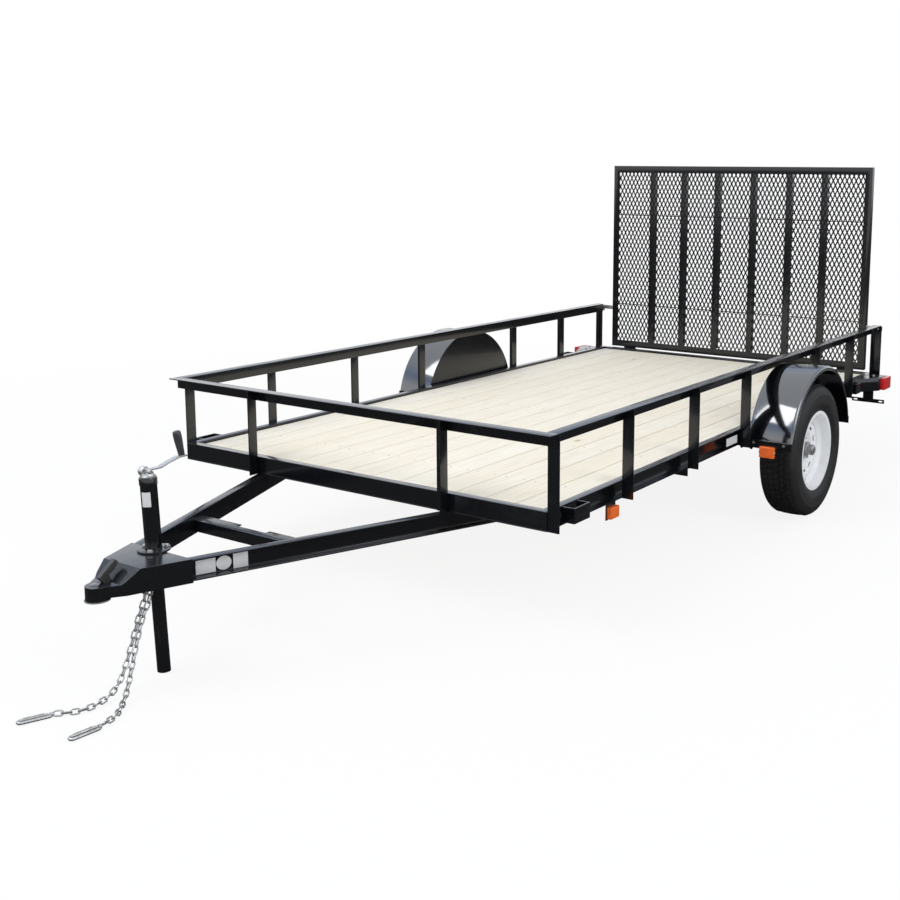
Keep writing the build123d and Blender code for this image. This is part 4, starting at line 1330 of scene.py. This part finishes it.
# ------------------------------------------------------------------ gate
@dataclass
class Gate:
    """The ramp gate's expanded mesh, and the catches on its sides."""

    wide: float = 0.029405
    tall: float = 0.057707
    strand: float = 0.0082
    left: float = -0.884
    right: float = 0.895
    low: float = 0.5435
    high: float = 1.7265
    seams: tuple[float, float] = (0.813, 1.432)
    wire_half: float = 0.0028
    half_thick: float = 0.0007

    def knot(self) -> bpy.types.Object:
        """One crossing of the mesh with half of each strand."""
        shape = Shape()
        a, b, t = self.wide / 4, self.tall / 4, self.half_thick
        half = self.strand / 2
        across = Vector((b, -a, 0)).normalized() * half
        for sx, sy in ((1, 1), (-1, 1), (-1, -1), (1, -1)):
            end = Vector((a * sx, b * sy, 0))
            side = Vector((across.x * sx, across.y * sy, 0))
            root = Vector((0.0008 * sx, 0, 0))
            tilt = 0.0002 * sx
            quad = [root - side, end - side, end + side, root + side]
            shape.prism([(p.x, p.y) for p in quad], Axis.Z, -t + tilt, t + tilt)
        n = self.strand * 0.62
        shape.prism([(-n, 0), (0, -0.0118), (n, 0), (0, 0.0118)], Axis.Z, -t, t)
        return Looms.template("mesh_knot", shape.mesh("mesh_knot"))

    def lattice(self, fitter: Fitter, looms: Looms) -> bpy.types.Mesh:
        """All the knots, in two sets half a cell apart."""
        knot = self.knot()
        whole = Shape()
        columns = round((self.right - self.left) / self.wide + 0.5)
        rows = round((self.high - self.low) / self.tall + 0.5)
        mid = ((self.left + self.right) / 2, (self.low + self.high) / 2)
        for name, less in (("even", 0), ("odd", 1)):
            part = looms.rows.run(
                "mesh_" + name,
                None,
                {
                    "Shape": knot,
                    "Columns": columns - less,
                    "Rows": rows - less,
                    "Width": (columns - less - 1) * self.wide,
                    "Length": (rows - less - 1) * self.tall,
                    "Centre": (*mid, 0.0),
                    "Finish": fitter.finishes.enamel,
                },
            )
            whole.bm.from_mesh(part)
        # edge wires and the two seams where the sheets meet
        edge, thick = self.wire_half, self.half_thick
        for x in (self.left + edge, self.right - edge):
            whole.box((x - edge, self.low, -thick), (x + edge, self.high, thick))
        for z in (self.low + edge, *self.seams, self.high - edge):
            whole.box((self.left, z - edge, -thick), (self.right, z + edge, thick))
        whole.moved(Matrix.Translation((0, GATE_Y - 0.00075, 0)) @ Matrix.Rotation(math.pi / 2, 4, "X"))
        return whole.mesh("gate_mesh_strands", 30.0)

    def catches(self) -> bpy.types.Mesh:
        """A spring housing with a bent pull rod on each side."""
        shape = Shape()
        for side in (-1, 1):
            x = side * (HALF + 0.026)
            y, z = GATE_Y - 0.004, RAIL_TOP - 0.024
            along = Matrix.Translation((x, y, z)) @ Matrix.Rotation(math.pi / 2, 4, "Z")
            shape.turned([(0, 0.0), (0, 0.0125), (0.02, 0.0125), (0.022, 0.011), (0.022, 0.0)], 16, along)
            # columns: out from the housing, down from its axis
            bend = ((0.02, 0.0), (0.029, 0.0), (0.034, 0.003), (0.036, 0.012), (0.036, 0.03))
            shape.tube([(x, y + out, z - down) for out, down in bend], 0.0048, 8)
        return shape.mesh("gate_catches")

    def build(self, fitter: Fitter, looms: Looms) -> None:
        """Makes the mesh and the catches."""
        paint = fitter.finishes.enamel
        lattice = self.lattice(fitter, looms)
        fitter.fit("gate_mesh_strands", lattice, "ramp_gate", paint, ["gate_mesh"])
        fitter.fit("gate_catches", self.catches(), "ramp_gate", paint)


# ------------------------------------------------------------------ wheels
@dataclass
class Wheel:
    """Tyre with ribs of tread blocks, white pressed rim, grey hub with its cap, nuts and valve."""

    name: str
    side: int
    nut_start: float

    # columns: place across, width, top radius, start of the first block
    ribs: tuple[tuple[float, float, float, float], ...] = (
        (0.0, 0.022, 0.3379, 0.0),
        (0.0275, 0.022, 0.3371, 0.05),
        (-0.0275, 0.022, 0.3371, 0.02),
        (0.055, 0.022, 0.3352, 0.08),
        (-0.055, 0.022, 0.3352, 0.03),
    )
    blocks: int = 66
    block_half: float = 0.0128
    block_root: float = 0.329
    bolt_circle: float = 0.05715
    nuts: int = 5
    nut_radius: float = 0.011
    valve_at: tuple[float, float, float] = (0.0, -0.042, -0.146)

    def place(self) -> Matrix:
        """Puts the wheel's middle in the frame, its outer side to local +X."""
        turn = Matrix.Identity(4) if self.side > 0 else Matrix.Rotation(math.pi, 4, "Z")
        return Matrix.Translation((self.side * WHEEL_X, AXLE, AXLE_Z)) @ turn

    def tyre(self, fitter: Fitter, looms: Looms) -> bpy.types.Mesh:
        """Carcass and tread."""
        # columns: place across, radius
        half = [
            (0.0825, 0.1904), (0.0848, 0.2), (0.088, 0.2085), (0.0925, 0.219), (0.0945, 0.2215),
            (0.0945, 0.2255), (0.0962, 0.2275), (0.0988, 0.24), (0.1, 0.256), (0.0998, 0.27),
            (0.0985, 0.284), (0.0992, 0.2865), (0.098, 0.289), (0.096, 0.3), (0.0912, 0.312),
            (0.0845, 0.3225), (0.0765, 0.3292), (0.0675, 0.3305), (0.045, 0.3312), (0.02, 0.332),
        ]
        inner = [(0.07, 0.1904), (0.072, 0.212), (0.086, 0.264), (0.072, 0.312)]
        outline = half + [(-x, r) for x, r in reversed(half)]
        outline += [(-x, r) for x, r in inner] + [(0.0, 0.325)] + inner[::-1]
        shape = Shape().turned(outline, 128, self.place(), closed=True)
        for k, (across, width, top, start) in enumerate(self.ribs):
            low = (across - width / 2, -self.block_half, self.block_root)
            block = Shape().box(low, (across + width / 2, self.block_half, top)).round(0.0012, 1)
            rubber = fitter.finishes.rubber
            shape.bm.from_mesh(self.ring(looms, f"rib_{k}", block.mesh("block"), self.blocks, start, rubber))
        return shape.mesh(f"tyre_{self.name}_treaded", 38.0)

    def ring(
        self,
        looms: Looms,
        name: str,
        mesh: bpy.types.Mesh,
        count: int,
        start: float,
        finish: bpy.types.Material,
    ) -> bpy.types.Mesh:
        """Repeats a mesh round the wheel.

        Args:
            looms: the trees.
            name: of the result.
            mesh: what is repeated.
            count: how many times.
            start: angle of the first one.
            finish: its material.

        Returns:
            The copies, in the frame's place.
        """
        template = Looms.template(name + "_one", mesh)
        values = {"Shape": template, "Count": count, "Start": start, "Centre": (0, 0, 0), "Finish": finish}
        made = looms.ring.run(name, None, values)
        made.transform(self.place())
        return made

    def build(self, fitter: Fitter, looms: Looms) -> None:
        """Makes all of the wheel."""
        body = f"wheel_{self.name}"
        looks = fitter.finishes
        node = f"tyre_{self.name}"
        fitter.fit(node + "_treaded", self.tyre(fitter, looms), body, looks.rubber, [node])
        # columns: piece, edge, ending, finish, slot
        for piece, edge, ending, finish, slot in (
            ("rim", 0.0012, "_pressed", looks.rim, "rim_paint"),
            ("hub", 0.001, "_turned", looks.hub, "hub_grey"),
        ):
            node = f"{piece}_{self.name}"
            shape = Shape().copy_of(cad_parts[node].data).round(edge, 2, 28.0)
            fitter.fit(node + ending, shape.mesh(piece, 32.0), body, finish, [node])
        cap = Shape().turned(
            [
                (0.0688, 0.0215), (0.0705, 0.0212), (0.0716, 0.0185), (0.0722, 0.0185), (0.0732, 0.012),
                (0.0735, 0.0),
            ],
            32,
            self.place(),
        )
        cap.turned([(0.036, 0.0275), (0.037, 0.031), (0.041, 0.031), (0.042, 0.0275)], 32, self.place())
        fitter.fit(f"hub_{self.name}_cap", cap.mesh("cap"), body, looks.bright)
        hexagon = circle(self.nut_radius, 6, (0.0, self.bolt_circle))
        nut = Shape().prism(hexagon, Axis.X, 0.0052, 0.0215).round(0.0012, 2)
        stud = Matrix.Translation((0, 0, self.bolt_circle))
        nut.turned([(0.021, 0.0085), (0.0235, 0.006), (0.0235, 0.0)], 12, stud)
        name = f"nuts_{self.name}"
        nuts = self.ring(looms, name, nut.mesh("nut"), self.nuts, self.nut_start, looks.bright)
        fitter.fit(name, nuts, body, None)
        valve = Shape().turned(
            [(0.02, 0.0), (0.02, 0.0065), (0.026, 0.0058), (0.034, 0.0042), (0.048, 0.004), (0.048, 0.0)],
            12,
            self.place() @ Matrix.Translation(self.valve_at),
        )
        fitter.fit(f"valve_{self.name}", valve.mesh("valve"), body, looks.plastic)


# ------------------------------------------------------------------ fenders
@dataclass
class Fender:
    """A rolled half-round fender with a wired outer edge."""

    name: str
    side: int
    inner: float = HALF + 0.020
    outer: float = HALF + 0.249
    radius: float = 0.406
    middle: float = 0.368
    foot: float = 0.450
    sheet: float = 0.002
    roll: float = 0.016
    skirt: float = 0.022
    bead: float = 0.0032
    steps: int = 96

    def place(self) -> Matrix:
        """Puts the fender's axis in the frame."""
        turn = Matrix.Identity(4) if self.side > 0 else Matrix.Rotation(math.pi, 4, "Z")
        return Matrix.Translation((0, AXLE, self.middle)) @ turn

    def build(self, fitter: Fitter) -> None:
        """Makes the arch and its edge."""
        start = math.asin((self.foot - self.middle) / self.radius)
        edge, skirt = self.outer - 0.0012, self.radius - self.skirt
        bend = [math.pi / 2 * k / 6 for k in range(7)]

        def rolled(reach: float, angles: Iterable[float]) -> list[tuple[float, float]]:
            """Points round the rolled edge at a distance from its middle."""
            across, out = edge - self.roll, self.radius - self.roll
            return [(across + reach * math.sin(a), out + reach * math.cos(a)) for a in angles]

        outline = [(self.inner, self.radius - self.sheet)]
        outline += rolled(self.roll - self.sheet, bend)
        outline += [(edge - self.sheet, skirt), (edge, skirt)]
        outline += rolled(self.roll, reversed(bend))
        outline += [(self.inner + 0.003, self.radius), (self.inner, self.radius - 0.001)]
        sweep = math.pi - 2 * start
        arch = Shape().arch(outline, self.place(), start, sweep, self.steps)
        bead = circle(self.bead, 12, (self.outer - 0.0034, skirt))
        arch.arch(bead, self.place(), start, sweep, self.steps)
        node = f"fender_{self.name}"
        sheet = fitter.finishes.sheet
        fitter.fit(node + "_rolled", arch.mesh("fender", 50.0), "chassis", sheet, [node])


# ------------------------------------------------------------------ coupler and jack
@dataclass
class Coupler:
    """Stamped coupler: domed nose with a flared lip, latch lever and the chain loop."""

    nose: float = FRONT - 1.184
    loop: float = FRONT - 0.985
    lever_half: float = 0.009

    def build(self, fitter: Fitter) -> None:
        """Makes the body, the dome, the lip, the lever and the loop."""
        looks = fitter.finishes
        body = Shape().copy_of(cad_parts["coupler_body"].data).round(0.0028, 3, 25.0)
        stamped = body.mesh("coupler", 40.0)
        fitter.fit("coupler_stamped", stamped, "chassis", looks.enamel, ["coupler_body"])
        up = Matrix.Translation((0, self.nose, 0)) @ Matrix.Rotation(-math.pi / 2, 4, "Y")
        # columns: height, radius
        dome = Shape().turned(
            [
                (0.3385, 0.0384), (0.35, 0.0382), (0.366, 0.0381), (0.374, 0.0376), (0.381, 0.0352),
                (0.3862, 0.0305), (0.3885, 0.022), (0.3892, 0.01), (0.3893, 0.0),
            ],
            40,
            up,
        )
        fitter.fit("coupler_dome", dome.mesh("dome"), "chassis", looks.enamel)
        flare = [(0.3365, 0.036), (0.3365, 0.041), (0.3385, 0.0418), (0.3405, 0.041), (0.3405, 0.036)]
        lip = Shape().turned(flare, 40, up, closed=True)
        fitter.fit("coupler_lip", lip.mesh("lip"), "chassis", looks.cast)
        # columns: behind the frame's front, height
        side_view = [
            (-1.18, 0.411), (-1.163, 0.389), (-1.15, 0.376), (-1.132, 0.38), (-1.137, 0.402),
            (-1.142, 0.412), (-1.121, 0.424), (-1.104, 0.447), (-1.117, 0.459),
        ]
        outline = [(FRONT + along, z) for along, z in side_view]
        lever = Shape().prism(outline, Axis.X, -self.lever_half, self.lever_half).round(0.0025, 2)
        made = lever.mesh("lever", 40.0)
        fitter.fit("coupler_lever", made, "chassis", looks.plastic, ["coupler_latch"])
        half = [(0.027, 0.3525), (0.027, 0.342), (0.022, 0.333), (0.011, 0.3275)]
        bend = [(-x, z) for x, z in half] + [(0.0, 0.326)] + half[::-1]
        loop = Shape().tube([(x, self.loop, z) for x, z in bend], 0.0052, 10)
        fitter.fit("chain_loop", loop.mesh("chain_loop"), "chassis", looks.enamel)


@dataclass
class Jack:
    """Tongue jack: black collar, stamped gear head, cranked arm, tapered grip and a blank label."""

    base: tuple[float, float] = (-0.004, FRONT - 0.934)
    lean: float = math.radians(3.2)
    pin: tuple[float, float, float] = (-0.026, -0.004, 0.7115)
    arm_half: float = 0.0125
    arm_thick: float = 0.0062
    grip_foot: tuple[float, float, float] = (0.0, 0.148, 0.7375)
    grip_top: tuple[float, float, float] = (-0.006, 0.137, 0.829)
    label_from: float = math.radians(176)
    label_sweep: float = math.radians(64)

    def place(self) -> Matrix:
        """The jack's own frame, Z up the tube."""
        c, s = math.cos(self.lean), math.sin(self.lean)
        return Matrix(((c, 0, -s, self.base[0]), (0, 1, 0, self.base[1]), (s, 0, c, 0), (0, 0, 0, 1)))

    def build(self, fitter: Fitter) -> None:
        """Makes every part of the jack's top."""
        looks = fitter.finishes
        frame_at = self.place()
        up = frame_at @ Matrix.Rotation(-math.pi / 2, 4, "Y")
        collar = Shape().turned(
            [(0.664, 0.0286), (0.666, 0.0304), (0.688, 0.0306), (0.69, 0.0296), (0.69, 0.0)], 40, up
        )
        fitter.fit("jack_collar", collar.mesh("collar"), "chassis", looks.enamel)
        head = Shape().turned(
            [
                (0.6885, 0.0268), (0.693, 0.0282), (0.6955, 0.0278), (0.6975, 0.0225), (0.7055, 0.0205),
                (0.7065, 0.0),
            ],
            32,
            up,
        )
        pin = frame_at @ Matrix.Translation(self.pin)
        boss = [(0.0, 0.0), (0.0, 0.0155), (0.004, 0.0175), (0.02, 0.0175), (0.023, 0.0155), (0.023, 0.0)]
        head.turned(boss, 24, pin)
        head.turned([(0.023, 0.0), (0.023, 0.0085), (0.05, 0.0085), (0.052, 0.0065), (0.052, 0.0)], 16, pin)
        fitter.fit("jack_head", head.mesh("head"), "chassis", looks.bright, ["jack_crank"])
        # columns: behind the jack's axis, height
        lower = [
            (-0.016, 0.7155), (0.03, 0.712), (0.052, 0.7125), (0.085, 0.7225), (0.128, 0.7325),
            (0.163, 0.7325),
        ]
        upper = [(y, z + self.arm_thick) for y, z in reversed(lower)]
        arm = Shape().prism(lower + upper, Axis.X, -self.arm_half, self.arm_half)
        arm.round(0.0018, 2).moved(frame_at)
        fitter.fit("jack_arm", arm.mesh("arm"), "chassis", looks.bright)
        way = (Vector(self.grip_top) - Vector(self.grip_foot)).normalized()
        turn = way.to_track_quat("X", "Z").to_matrix().to_4x4()
        grip = Shape().turned(
            [
                (0.0, 0.0), (0.0, 0.0102), (0.003, 0.0114), (0.03, 0.0128), (0.055, 0.0146),
                (0.078, 0.0148), (0.086, 0.0136), (0.0895, 0.0098), (0.0898, 0.0),
            ],
            24,
            frame_at @ Matrix.Translation(self.grip_foot) @ turn,
        )
        made = grip.mesh("grip")
        fitter.fit("jack_knob", made, "chassis", looks.plastic, ["jack_grip"])
        patch = [(0.592, 0.0285), (0.643, 0.0285), (0.643, 0.0289), (0.592, 0.0289)]
        label = Shape().arch(patch, up, self.label_from, self.label_sweep, 14)
        fitter.fit("jack_label", label.mesh("label"), "chassis", looks.vinyl)


# ------------------------------------------------------------------ blank labels
@dataclass
class Labels:
    """Blank vinyl patches on the left tongue beam and the frame side."""

    slope: float = 0.4
    front_half: float = 0.091
    front: float = -1.084
    web: float = 0.0339
    lift: float = 0.0001
    skin: float = 0.0006
    # columns: from, to, bottom, top, round
    table: tuple[tuple[float, float, float, float, bool], ...] = (
        (-0.893, -0.829, 0.362, 0.412, False),
        (-0.827, -0.777, 0.363, 0.413, True),
        (-0.771, -0.722, 0.36, 0.418, False),
    )
    frame_patch: tuple[Point, Point] = (
        (HALF - 0.0005, FRONT + 1.54, 0.446),
        (HALF + 0.0006, FRONT + 1.66, 0.484),
    )

    def on_web(self, along: float, z: float, lift: float) -> Point:
        """A point this far outside the tongue beam's web, at its own distance from the middle."""
        toe = self.front_half + self.slope * (along - self.front)
        return (toe - self.web + lift, FRONT + along, z)

    def build(self, fitter: Fitter) -> None:
        """Makes every patch."""
        shape = Shape()
        for start, end, low, high, disc in self.table:
            corners = [(start, low), (end, low), (end, high), (start, high)]
            if disc:
                corners = circle((end - start) / 2, 28, ((start + end) / 2, (low + high) / 2))
            shape.between(*([self.on_web(y, z, lift) for y, z in corners] for lift in (self.lift, self.skin)))
        shape.box(*self.frame_patch)
        fitter.fit("tongue_labels", shape.mesh("labels"), "chassis", fitter.finishes.vinyl)


# ------------------------------------------------------------------ bolts
@dataclass
class Fixings:
    """Hex bolts on the jack plate, lamp boxes, fender plates and springs."""

    plate_at: tuple[float, float, float] = (-0.0278, FRONT - 0.934, 0.4402)
    plate_circle: float = 0.043
    plate_turns: tuple[float, ...] = (-55.0, 65.0, 185.0)
    # columns: out from the frame side, behind the frame's front
    lamp_spots: tuple[tuple[float, float], ...] = ((0.045, 3.56), (0.02, 3.47))
    foot_outs: tuple[float, ...] = (0.05, 0.205)
    foot_high: float = 0.437
    spring_in: float = 0.023
    spring_sides: tuple[float, ...] = (-0.027, 0.027)
    spring_ends: float = 0.036
    spring_high: float = AXLE_Z + 0.056

    def bolt(self, radius: float, tall: float) -> bpy.types.Object:
        """A hex head on a washer, standing on the XY plane."""
        shape = Shape().prism(circle(radius, 6), Axis.Z, 0.0012, tall).round(radius * 0.1, 1)
        washer = radius * 1.35
        up = Matrix.Rotation(-math.pi / 2, 4, "Y")
        shape.turned([(0.0, washer), (0.0016, washer), (0.0016, 0.0)], 16, up)
        return Looms.template("bolt", shape.mesh("bolt"))

    def build(self, fitter: Fitter, looms: Looms) -> None:
        """Puts the bolts on."""
        large, small = self.bolt(0.0088, 0.0075), self.bolt(0.0055, 0.005)
        up = (0, 0, 1)
        x, y, z = self.plate_at
        turns = [math.radians(degrees) for degrees in self.plate_turns]
        ring = [(x + self.plate_circle * math.cos(a), y + self.plate_circle * math.sin(a), z) for a in turns]
        plate = [(spot, up) for spot in ring]
        lamp, foot, spring = [], [], []
        for side in (-1, 1):
            lamp += [((side * (HALF + out), FRONT + back, FRAME_TOP), up) for out, back in self.lamp_spots]
            for end in (-1, 1):
                face = AXLE + end * (FOOT_REACH + FOOT_PLATE)
                foot += [((side * (HALF + out), face, self.foot_high), (0, end, 0)) for out in self.foot_outs]
                across = [side * (HALF - self.spring_in + aside) for aside in self.spring_sides]
                spring += [((at, AXLE + end * self.spring_ends, self.spring_high), up) for at in across]
        looks = fitter.finishes
        for name, shape, spots, finish in (
            ("jack_plate_bolts", large, plate, looks.zinc),
            ("lamp_bolts", small, lamp, looks.zinc),
            ("fender_bolts", small, foot, looks.cast),
            ("spring_nuts", large, spring, looks.zinc),
        ):
            mesh = looms.on_spots(name, shape, spots, finish)
            fitter.fit(name, mesh, "chassis", None)


# ------------------------------------------------------------------ softened CAD shapes with other finishes
@dataclass
class Trim:
    """Lamps, latches, springs and small ironwork, with softened edges."""

    # columns: node, body, finish, slot, edge
    table: tuple[tuple[str, str, str, str, float], ...] = (
        ("tail_boxes", "chassis", "enamel", "black_plastic", 0.003),
        ("tail_lenses", "chassis", "red", "red_lens", 0.003),
        ("marker_lenses", "chassis", "amber", "amber_lens", 0.004),
        ("jack_flange", "chassis", "enamel", "zinc_steel", 0.0012),
        ("hinge_ears", "chassis", "enamel", "black_paint", 0.001),
        ("hinge_knuckles", "ramp_gate", "enamel", "black_paint", 0.001),
        ("gate_latches", "ramp_gate", "zinc", "black_paint", 0.001),
        ("leaf_springs", "chassis", "enamel", "black_paint", 0.0008),
        ("spring_hangers", "chassis", "enamel", "black_paint", 0.001),
        ("spring_ties", "chassis", "zinc", "black_paint", 0.0008),
        ("axle_beam", "chassis", "enamel", "black_paint", 0.001),
        ("fender_backs", "chassis", "enamel", "black_paint", 0.0004),
    )
    marker_out: float = 0.126
    rib_count: int = 5
    rib_low: float = 0.381
    rib_pitch: float = 0.009
    rib_half: float = 0.03
    rib_raised: float = 0.0008
    rib_radius: float = 0.0016
    screw_high: float = 0.398

    def build(self, fitter: Fitter) -> None:
        """Makes each piece."""
        for node, body, finish, slot, edge in self.table:
            shape = Shape().copy_of(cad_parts[node].data).round(edge, 2)
            material = getattr(fitter.finishes, finish)
            fitter.fit(node + "_trim", shape.mesh(node, 35.0), body, material, [node])
        ribs, screws = Shape(), Shape()
        for side in (-1, 1):
            x = side * (HALF + self.marker_out)
            y = AXLE - FOOT_REACH - FOOT_PLATE - MARKER_DEEP
            for k in range(self.rib_count):
                z = self.rib_low + self.rib_pitch * k
                ends = (x - self.rib_half, x + self.rib_half)
                ribs.tube([(end, y - self.rib_raised, z) for end in ends], self.rib_radius, 6)
            for turn in (0.0, math.pi):
                spot = Matrix.Translation((x, y + 0.01, self.screw_high)) @ Matrix.Rotation(turn, 4, "Z")
                screws.turned(
                    [(0.035, 0.0), (0.035, 0.0052), (0.039, 0.0052), (0.042, 0.0035), (0.0428, 0.0)], 14, spot
                )
        looks = fitter.finishes
        fitter.fit("marker_screws", screws.mesh("marker_screws"), "chassis", looks.bright)
        fitter.fit("marker_ribs", ribs.mesh("marker_ribs"), "chassis", looks.amber)


def main() -> None:
    """Builds the studio and every piece, in order."""
    logging.basicConfig(level=logging.INFO, format="%(name)s: %(message)s")
    bpy.context.scene.view_settings.view_transform = "Standard"
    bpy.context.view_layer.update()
    Studio().build()
    fitter = Fitter(Finishes())
    looms = Looms()
    left_route = (
        (0.012, -0.985, 0.3468),
        (0.012, -0.985, 0.290),
        (0.020, -1.034, 0.229),
        (0.042, -1.090, 0.112),
        (0.094, -1.160, 0.032),
        (0.134, -1.212, 0.0115),
        (0.184, -1.276, 0.0115),
        (0.187, -1.325, 0.0115),
    )
    right_route = (
        (-0.014, -0.985, 0.3468),
        (-0.014, -0.985, 0.290),
        (-0.013, -1.018, 0.230),
        (-0.007, -1.058, 0.138),
        (0.016, -1.112, 0.062),
        (0.034, -1.158, 0.026),
        (0.048, -1.214, 0.0115),
        (0.056, -1.282, 0.0115),
        (0.031, -1.331, 0.0115),
        (-0.006, -1.360, 0.0115),
    )
    SafetyChain("left", left_route, (-0.08, -1.0), 0.578).build(fitter, looms)
    SafetyChain("right", right_route, (-0.42, -1.0), 0.608).build(fitter, looms)
    Steelwork().build(fitter)
    Trim().build(fitter)
    Deck().build(fitter, looms)
    Gate().build(fitter, looms)
    Wheel("left", 1, 0.0).build(fitter, looms)
    Wheel("right", -1, math.pi / 5).build(fitter, looms)
    Fender("left", 1).build(fitter)
    Fender("right", -1).build(fitter)
    Coupler().build(fitter)
    Jack().build(fitter)
    Labels().build(fitter)
    Fixings().build(fitter, looms)
    log.info("%d pieces", len(fitter.made))


if __name__ == "__main__":
    main()
